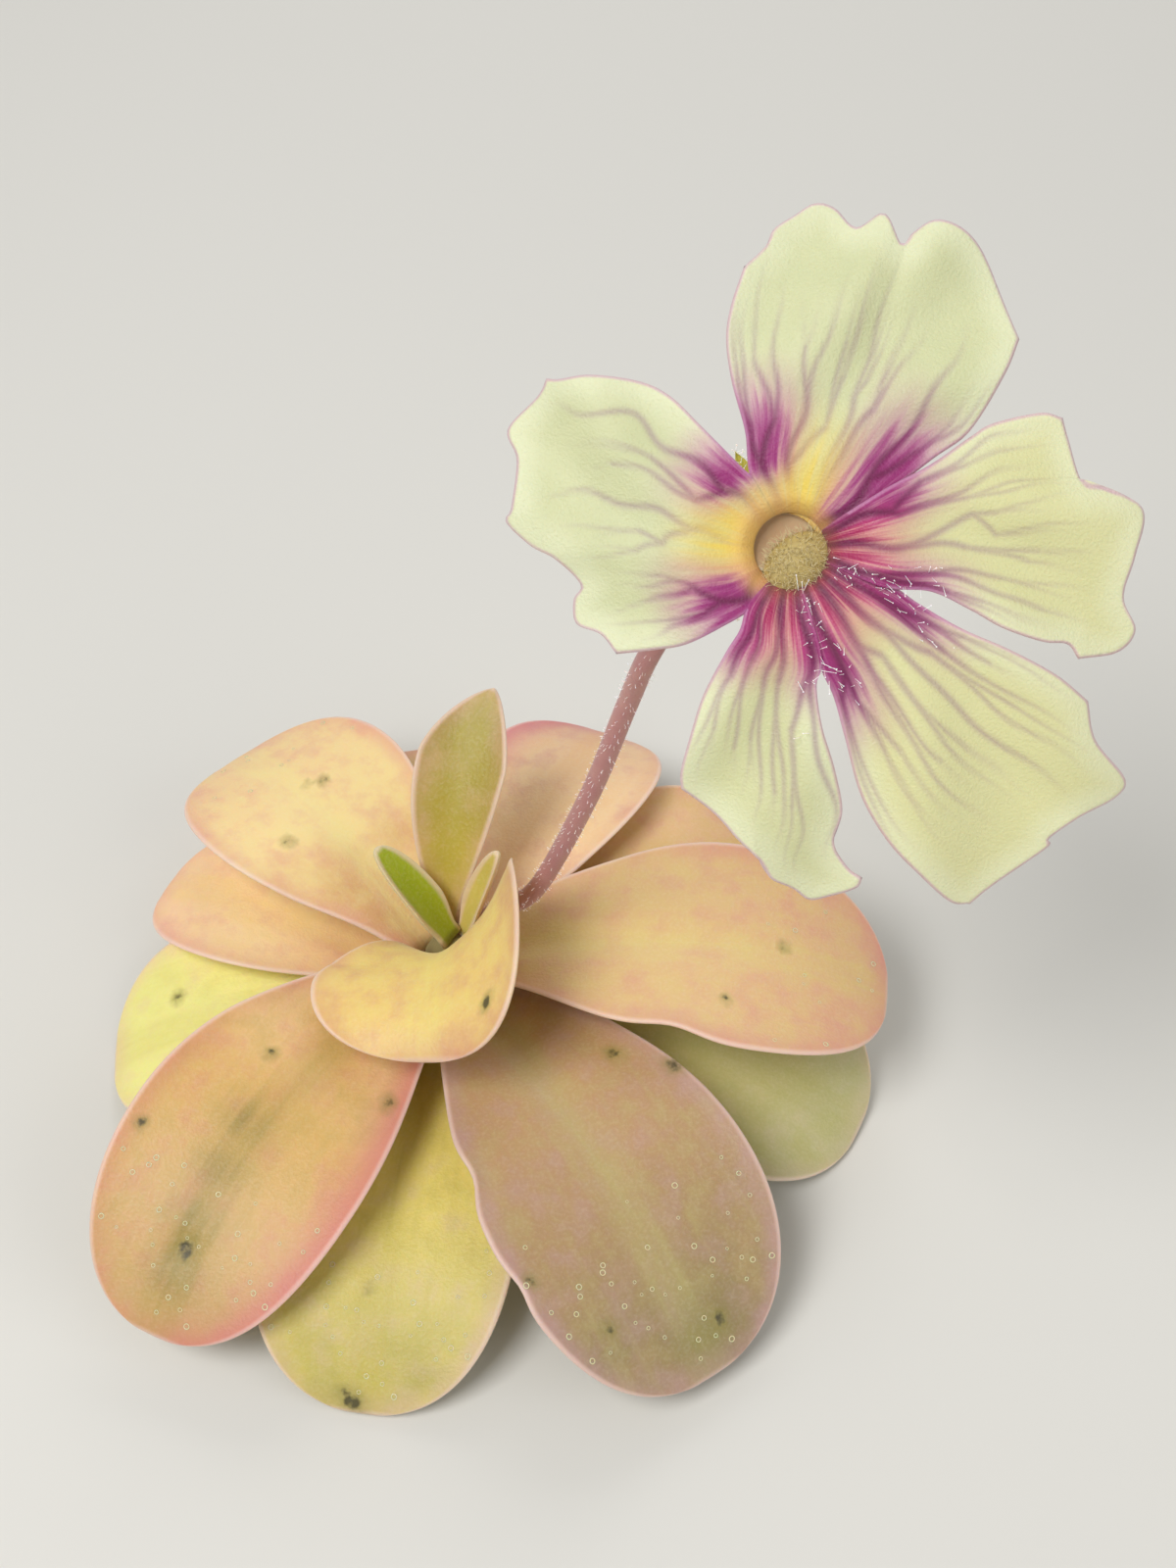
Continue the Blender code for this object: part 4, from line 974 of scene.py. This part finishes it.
# Outlines run clockwise from the lobe's base in millimetres right of and above the throat, and
# corners are the points where its sides meet its outer edge. heart is the colour in the middle of
# its base and how far out that reaches. flanks is how far the purple reaches along its two sides,
# hairs how hairy those are, clear how far the purple leaves their foot free, and warm how much of
# a golden tint its cream has. lift is how far its base stands forward of the others and mains how
# many veins it starts with, and seed scatters its veins and hairs. A crease is a place across the
# lobe, a depth, which is below zero for a ridge, and a width.
LOBES = (
    dict(name="top", lift=-0.25, corners=(5, 18), mains=4, heart=("yellow", 11.0), flanks=(13.5, 15.5),
         hairs=(0.0, 0.0), clear=(0.8, 0.0), warm=0.0, seed=11,
         creases=((0.55, 0.3, 0.06), (0.44, -0.3, 0.06), (0.66, -0.3, 0.06)), outline=(
             (-2.2, 4.6), (-2.6, 7.6), (-3.5, 10.8), (-3.9, 13.6), (-3.6, 15.8), (-2.8, 18.3), (-1.4, 19.7),
             (-0.9, 20.8), (0.5, 21.8), (1.8, 22.6), (3.1, 22.3), (4.5, 20.9), (6.3, 21.8), (7.4, 19.7),
             (8.2, 20.5), (9.7, 21.3), (11.7, 20.5), (13.2, 18.4), (15.1, 13.5), (14.1, 11.1), (12.0, 7.6),
             (9.5, 5.7), (5.2, 2.4))),
    dict(name="left", lift=0.0, corners=(4, 16), mains=3, heart=("yellow", 9.0), flanks=(10.5, 11.0),
         hairs=(0.0, 0.0), clear=(0.0, 0.8), warm=0.0, seed=12,
         creases=((0.3, 0.3, 0.06),), outline=(
             (-2.0, -3.9), (-3.9, -5.1), (-6.3, -6.3), (-8.4, -6.7), (-11.0, -7.0), (-12.1, -5.7),
             (-13.8, -5.0), (-14.0, -3.4), (-13.5, -2.4), (-15.2, -0.7), (-16.9, 0.2), (-18.6, 1.8),
             (-18.2, 2.7), (-17.9, 5.9), (-18.6, 8.0), (-16.5, 10.2), (-15.9, 11.3), (-15.0, 11.2),
             (-12.8, 11.4), (-9.7, 11.0), (-7.6, 10.0), (-5.5, 8.0), (-2.8, 5.3), (-2.0, 4.5))),
    dict(name="right", lift=0.45, corners=(6, 15), mains=3, heart=("crimson", 11.0), flanks=(13.5, 14.5),
         hairs=(0.0, 1.0), clear=(0.0, 0.0), warm=0.5, seed=13,
         creases=((0.2, 0.35, 0.06), (0.45, -0.3, 0.07)), outline=(
             (3.9, 2.2), (6.6, 3.9), (9.4, 5.4), (12.0, 7.2), (13.5, 8.1), (16.6, 8.8), (18.1, 8.5),
             (18.5, 7.2), (19.5, 4.3), (21.0, 3.9), (23.6, 2.6), (23.1, -0.5), (22.5, -3.2), (23.5, -5.4),
             (22.4, -6.9), (19.6, -7.3), (18.8, -6.3), (17.1, -6.1), (14.4, -5.2), (12.2, -4.0),
             (9.6, -2.8), (6.5, -2.5))),
    dict(name="bottom_right", lift=-0.1, corners=(5, 13), mains=4, heart=("crimson", 10.5),
         flanks=(15.5, 16.0), hairs=(1.0, 1.0), clear=(0.0, 0.0), warm=0.55, seed=14,
         creases=((0.5, 0.3, 0.08),), outline=(
             (6.7, -2.2), (8.9, -3.6), (11.7, -5.2), (14.9, -6.6), (18.1, -8.3), (20.4, -10.1),
             (21.1, -12.8), (23.5, -15.6), (23.0, -16.9), (20.3, -18.3), (18.4, -19.7), (18.3, -20.4),
             (14.6, -23.4), (13.3, -24.6), (11.8, -24.3), (9.4, -22.0), (7.2, -19.6), (5.4, -16.5),
             (4.2, -12.4), (3.4, -9.7), (2.3, -7.2))),
    dict(name="bottom_left", lift=0.1, corners=(7, 16), mains=3, heart=("crimson", 10.5),
         flanks=(12.0, 11.0), hairs=(1.0, 0.0), clear=(0.0, 0.0), warm=0.2, seed=15,
         creases=((0.4, 0.3, 0.08),), outline=(
             (2.6, -7.1), (2.3, -9.0), (2.7, -11.7), (3.6, -14.6), (4.2, -17.6), (3.7, -19.9), (4.7, -21.7),
             (5.7, -22.4), (5.3, -23.2), (3.5, -23.9), (2.1, -24.2), (1.0, -23.4), (-0.5, -22.6),
             (-1.3, -21.2), (-2.9, -19.6), (-4.4, -18.0), (-6.7, -16.2), (-6.7, -14.9), (-6.1, -12.6),
             (-5.2, -9.7), (-3.7, -6.8), (-2.8, -5.3), (-2.3, -3.7))),
)


def steps(low, high, value):
    """0 before low and 1 beyond high, smoothly; low may be above high."""
    share = np.clip((value - low) / (high - low), 0, 1)
    return share * share * (3 - 2 * share)


def lobe_relief(x, y, lift):
    """How far forward of the face plane a lobe lies: sunk into the throat, raised round it and
    swept back beyond, in shallow waves."""
    reach = math.hypot(x, y)
    bearing = math.atan2(y, x)
    sunk = THROAT_DIP * max(0.0, (3.5 - math.hypot(x - LOBE_ROOT_SHIFT, y)) / 1.15) ** 2
    shoulder = SHOULDER_HEIGHT * math.exp(-((reach - 6.2) / 2.4) ** 2)
    sweep = LOBE_SWEEP * max(0.0, (reach - 7.0) / 16.0) ** 2
    waves = WAVE_HEIGHT * min(1.0, max(0.0, (reach - 6.0) / 10.0)) * math.sin(11 * bearing + 0.35 * reach)
    raised = lift * math.exp(-((reach - 6.0) / 6.0) ** 2) * (0.1 + 0.9 * steps(3.0, 7.0, reach))
    return -0.15 - sunk + shoulder - sweep + waves + raised


def at_shares(points, shares):
    """Places at the given shares of the length of a smooth curve through the points."""
    fine = smooth_path([(*p, 0.0) for p in points], 16 * len(points))
    run = np.concatenate(([0.0], np.cumsum(np.linalg.norm(np.diff(fine, axis=0), axis=1))))
    return np.array([[np.interp(share * run[-1], run, fine[:, i]) for i in (0, 1)] for share in shares])


def lobe_patch(outline, corners, rows, columns):
    """A lobe laid flat: a patch between the mouth of the tube, its two sides and its outer edge."""
    start, end = (math.atan2(y, x) for x, y in (outline[0], outline[-1]))
    end += 2 * math.pi * round((start - end) / (2 * math.pi))
    angles = start + (end - start) * columns
    roots = np.stack((np.cos(angles), np.sin(angles)), axis=1) * LOBE_ROOT_RADIUS + (LOBE_ROOT_SHIFT, 0.0)
    first = at_shares([roots[0], *outline[:corners[0] + 1]], rows)
    last = at_shares([roots[-1], *outline[:corners[1] - 1:-1]], rows)
    edge = at_shares(outline[corners[0]:corners[1] + 1], columns)
    v, u = rows[:, None, None], columns[None, :, None]
    flat = ((1 - v) * roots[None] + v * edge[None] + (1 - u) * first[:, None] + u * last[:, None]
            - (1 - v) * ((1 - u) * roots[0] + u * roots[-1]) - v * ((1 - u) * edge[0] + u * edge[-1]))
    return flat, np.concatenate((first, edge, last[::-1]))


def fork(draw, lines, low, high, share, start, level):
    """Adds a vein that keeps to its strip of a lobe, between low and high across it, and forks."""
    fork_at, width, ink = VEIN_LEVELS[level]
    last = level == len(VEIN_LEVELS) - 1 or draw.random() < 0.15 * level
    end = draw.uniform(0.72, 0.96) if last else fork_at + draw.uniform(-0.1, 0.1)
    centre = low + (high - low) * draw.uniform(0.35, 0.65)
    swing = draw.uniform(0, 6.0)
    path = []
    for v in np.linspace(start, end, max(4, int((end - start) / 0.025))):
        s = share + (centre - share) * ((v - start) / (end - start)) ** 0.8
        s += (high - low) * 0.11 * (math.sin(21 * v + swing) - math.sin(21 * start + swing))
        faded = ink * (1 - 0.35 * v) * (1 - steps(end - 0.3, end, v) if last else 1.0)
        path.append((s, v, width * (1.15 - 0.5 * v), faded))
    lines.append(path)
    if not last:
        middle = low + (high - low) * draw.uniform(0.3, 0.7)
        fork(draw, lines, low, middle, path[-1][0], end, level + 1)
        fork(draw, lines, middle, high, path[-1][0], end, level + 1)


def veined(flat, rows, columns, mains, seed):
    """How strongly a vein shows at each point of a flat lobe."""
    draw = np.random.default_rng(seed)
    lines = []
    for k in range(mains):
        fork(draw, lines, k / mains, (k + 1) / mains, (k + 0.5) / mains, 0.0, 0)
    shown = np.zeros(flat.shape[:2])
    for path in lines:
        spots = []
        for s, v, _, _ in path:
            row = np.interp(v, rows, np.arange(len(rows)))
            column = np.interp(s, columns, np.arange(len(columns)))
            i, j = min(int(row), len(rows) - 2), min(int(column), len(columns) - 2)
            a, b = row - i, column - j
            spots.append((1 - a) * ((1 - b) * flat[i, j] + b * flat[i, j + 1])
                         + a * ((1 - b) * flat[i + 1, j] + b * flat[i + 1, j + 1]))
        for (p, q), (_, _, width, ink) in zip(zip(spots, spots[1:]), path):
            run = q - p
            along = np.clip(((flat - p) @ run) / max(run @ run, 1e-9), 0, 1)
            gap = np.linalg.norm(flat - p - along[..., None] * run, axis=2)
            shown = np.maximum(shown, ink * np.exp(-(gap / width) ** 2))
    return shown


# Petal tissue: thin, matt and velvety, cream over pale green in clouds of 4 to 5 mm. The veins and
# stains lie in it, and the veins are sunk a little below its surface.
petal = empty_material("petal tissue")
tree = petal.node_tree
vein, edge_gap, share, run, yellow, purple, crimson, orange, warm, rear = read_attributes(
    tree, "vein", "margin", "share", "run", "yellow", "purple", "crimson", "orange", "warm", "rear")
place = add_node(tree, "ShaderNodeTexCoord").outputs["Object"]
cloud = add_node(tree, "ShaderNodeTexNoise", {"Vector": place, "Scale": 220.0, "Detail": 3.0}).outputs["Fac"]
velvet = add_node(tree, "ShaderNodeTexNoise", {"Vector": place, "Scale": 5000.0}).outputs["Fac"]
ray_place = add_node(tree, "ShaderNodeCombineXYZ", {"X": share, "Y": run}).outputs["Vector"]
ray_space = add_node(tree, "ShaderNodeMapping", {"Vector": ray_place,
                                                 "Scale": (26.0, 3.0, 1.0)}).outputs["Vector"]
rays = add_node(tree, "ShaderNodeTexNoise", {"Vector": ray_space, "Scale": 1.0, "Detail": 3.0}).outputs["Fac"]
ray = add_node(tree, "ShaderNodeMapRange", {"Value": rays, "From Min": 0.3, "From Max": 0.7, "To Min": 0.6,
                                            "To Max": 1.3}).outputs["Result"]
streaky = {}
for label, stain in (("yellow", yellow), ("purple", purple), ("crimson", crimson)):
    streaky[label] = add_node(tree, "ShaderNodeMath", {0: stain, 1: ray}, operation="MULTIPLY",
                              use_clamp=True).outputs[0]
deep = {}
for label in ("purple", "crimson"):
    deep[label] = add_node(tree, "ShaderNodeMapRange", {"Value": streaky[label], "From Min": 0.5,
                                                        "From Max": 1.0, "To Max": 0.9}).outputs["Result"]
gap_between = add_node(tree, "ShaderNodeMapRange", {"Value": rays, "From Min": 0.52, "From Max": 0.36,
                                                    "To Max": 0.5}).outputs["Result"]
gap_between = add_node(tree, "ShaderNodeMath", {0: gap_between, 1: crimson}, operation="MULTIPLY").outputs[0]
stained = add_node(tree, "ShaderNodeMath", {0: purple, 1: crimson}, operation="MAXIMUM").outputs[0]
pale_vein = add_node(tree, "ShaderNodeMath", {0: vein, 1: 0.6}, operation="MULTIPLY").outputs[0]
dark_vein = add_node(tree, "ShaderNodeMath", {0: vein, 1: stained}, operation="MULTIPLY",
                     use_clamp=True).outputs[0]
# Painted highlight: the lobes are painted paler towards their edges, for the light that catches them.
painted_edge_highlight = add_node(tree, "ShaderNodeMapRange", {"Value": edge_gap, "From Min": 2.6, "From Max": 0.3,
                                                 "To Max": 0.5},
                    interpolation_type="SMOOTHSTEP").outputs["Result"]
flush = add_node(tree, "ShaderNodeMapRange", {"Value": edge_gap, "From Min": 0.3, "From Max": 0.08,
                                              "To Max": 0.6},
                 interpolation_type="SMOOTHSTEP").outputs["Result"]
back = add_node(tree, "ShaderNodeMath", {0: rear, 1: 0.4}, operation="MULTIPLY").outputs[0]
colour = painted(tree, colour_of("#D8DAAE"), (cloud, "#C8CC9E"), (warm, "#E6E0A2"), (painted_edge_highlight, "#EAEDCC"),
                 (pale_vein, "#946088"), (streaky["yellow"], "#EAD060"), (streaky["purple"], "#BC549E"),
                 (deep["purple"], "#94206A"), (streaky["crimson"], "#CE3C7C"), (deep["crimson"], "#A01450"),
                 (gap_between, "#E4A894"), (dark_vein, "#6A0F45"), (orange, "#ECBC6C"), (flush, "#CF96BC"),
                 (back, "#DDE0BC"))
sunk = add_node(tree, "ShaderNodeMath", {0: vein, 1: -0.6, 2: velvet}, operation="MULTIPLY_ADD").outputs[0]
surfaced(tree, colour, sunk, 0.08, Roughness=0.55, Subsurface_Weight=0.25, Subsurface_Radius=(1.0, 0.8, 0.6),
         Subsurface_Scale=0.0008, Sheen_Weight=0.15, Sheen_Roughness=0.4)

# What the mesh of a lobe is made to carry
LOBE_NOTES = ("vein", "margin", "share", "run", "heart", "flank", "hairy", "lip", "rear")
spacing = np.linspace(-1, 1, LOBE_COLUMNS)
columns = 0.5 + 0.5 * (0.8 * spacing + 0.2 * np.sin(0.5 * math.pi * spacing))
rows = np.linspace(0, 1, LOBE_ROWS)
rows = 0.85 * rows + 0.15 * np.sin(0.5 * math.pi * rows)
for lobe in LOBES:
    flat, border = lobe_patch(lobe["outline"], lobe["corners"], rows, columns)
    vein_ink = veined(flat, rows, columns, lobe["mains"], lobe["seed"])
    margin = np.min(np.linalg.norm(flat[:, :, None] - border[None, None], axis=3), axis=2)
    reach = np.linalg.norm(flat, axis=2)
    side = np.broadcast_to(2 * columns - 1, reach.shape)
    flank_reach = np.where(side < 0, lobe["flanks"][0], lobe["flanks"][1])
    flank = steps(0.1, 0.75, np.abs(side)) * steps(1.0, 0.5, reach / flank_reach)
    heart_name, heart_reach = lobe["heart"]
    clear = np.where(side < 0, lobe["clear"][0], lobe["clear"][1])
    clear = clear * steps(6.0, 3.8, reach)
    flank = flank * (1 - clear)
    heart = np.maximum(clear, steps(1.05, 0.4, np.abs(side)) * steps(heart_reach, 3.0, reach))
    lip = steps(4.2, 2.4, reach) * LIP_TINT[heart_name]
    fused = np.where(side < 0, math.hypot(*lobe["outline"][0]), math.hypot(*lobe["outline"][-1]))
    margin = margin + 3.0 * steps(fused + 0.3, fused - 0.9, reach)
    hairy = steps(13.0, 9.0, reach) * steps(2.0, 4.5, reach) * steps(0.3, 0.8, np.abs(side))
    hairy = hairy * np.where(side < 0, lobe["hairs"][0], lobe["hairs"][1])
    loops, notes = [], []
    for i, v in enumerate(rows):
        front, rear_side, known = [], [], []
        for j, u in enumerate(columns):
            x, y = flat[i, j]
            z = lobe_relief(x, y, lobe["lift"])
            for crease_at, depth, spread in lobe["creases"]:
                z -= depth * math.exp(-((u - crease_at) / spread) ** 2) * steps(0.25, 1.0, v)
            rounding = math.sqrt(1 - (1 - min(1.0, margin[i, j] / EDGE_ROUNDING)) ** 2)
            half = 0.5 * LOBE_THICKNESS * max(rounding, 0.04)
            front.append(in_flower(x, y, z - 0.5 * LOBE_THICKNESS + half))
            rear_side.append(in_flower(x, y, z - 0.5 * LOBE_THICKNESS - half))
            known.append((vein_ink[i, j], margin[i, j], u, v, heart[i, j], flank[i, j], hairy[i, j],
                          lip[i, j]))
        loops.append(front + rear_side[::-1])
        notes += [(*k, 0.0) for k in known] + [(*k, 1.0) for k in known[::-1]]
    noted = dict(zip(LOBE_NOTES, np.array(notes).T))
    blank = np.zeros(len(notes))
    hearts = {"yellow": blank, "crimson": blank}
    hearts[heart_name] = noted["heart"]
    piece = made("petal_" + lobe["name"], *skin(loops), petal, **hearts, purple=noted["flank"],
                 vein=noted["vein"] * (1 - noted["rear"] * 0.5), margin=noted["margin"],
                 share=noted["share"], run=noted["run"], hairy=noted["hairy"] * (1 - noted["rear"]),
                 orange=noted["lip"], warm=blank + lobe["warm"], rear=noted["rear"])
    placed(piece, "petal_cream", "corolla")
    if max(lobe["hairs"]) > 0:
        lobe_hairs = grow("hairs_" + lobe["name"], piece, HAIR_GROWTH, Where="hairy", Material=hair,
                          Seed=lobe["seed"], **LOBE_HAIRS)
        placed(lobe_hairs, "petal_cream")
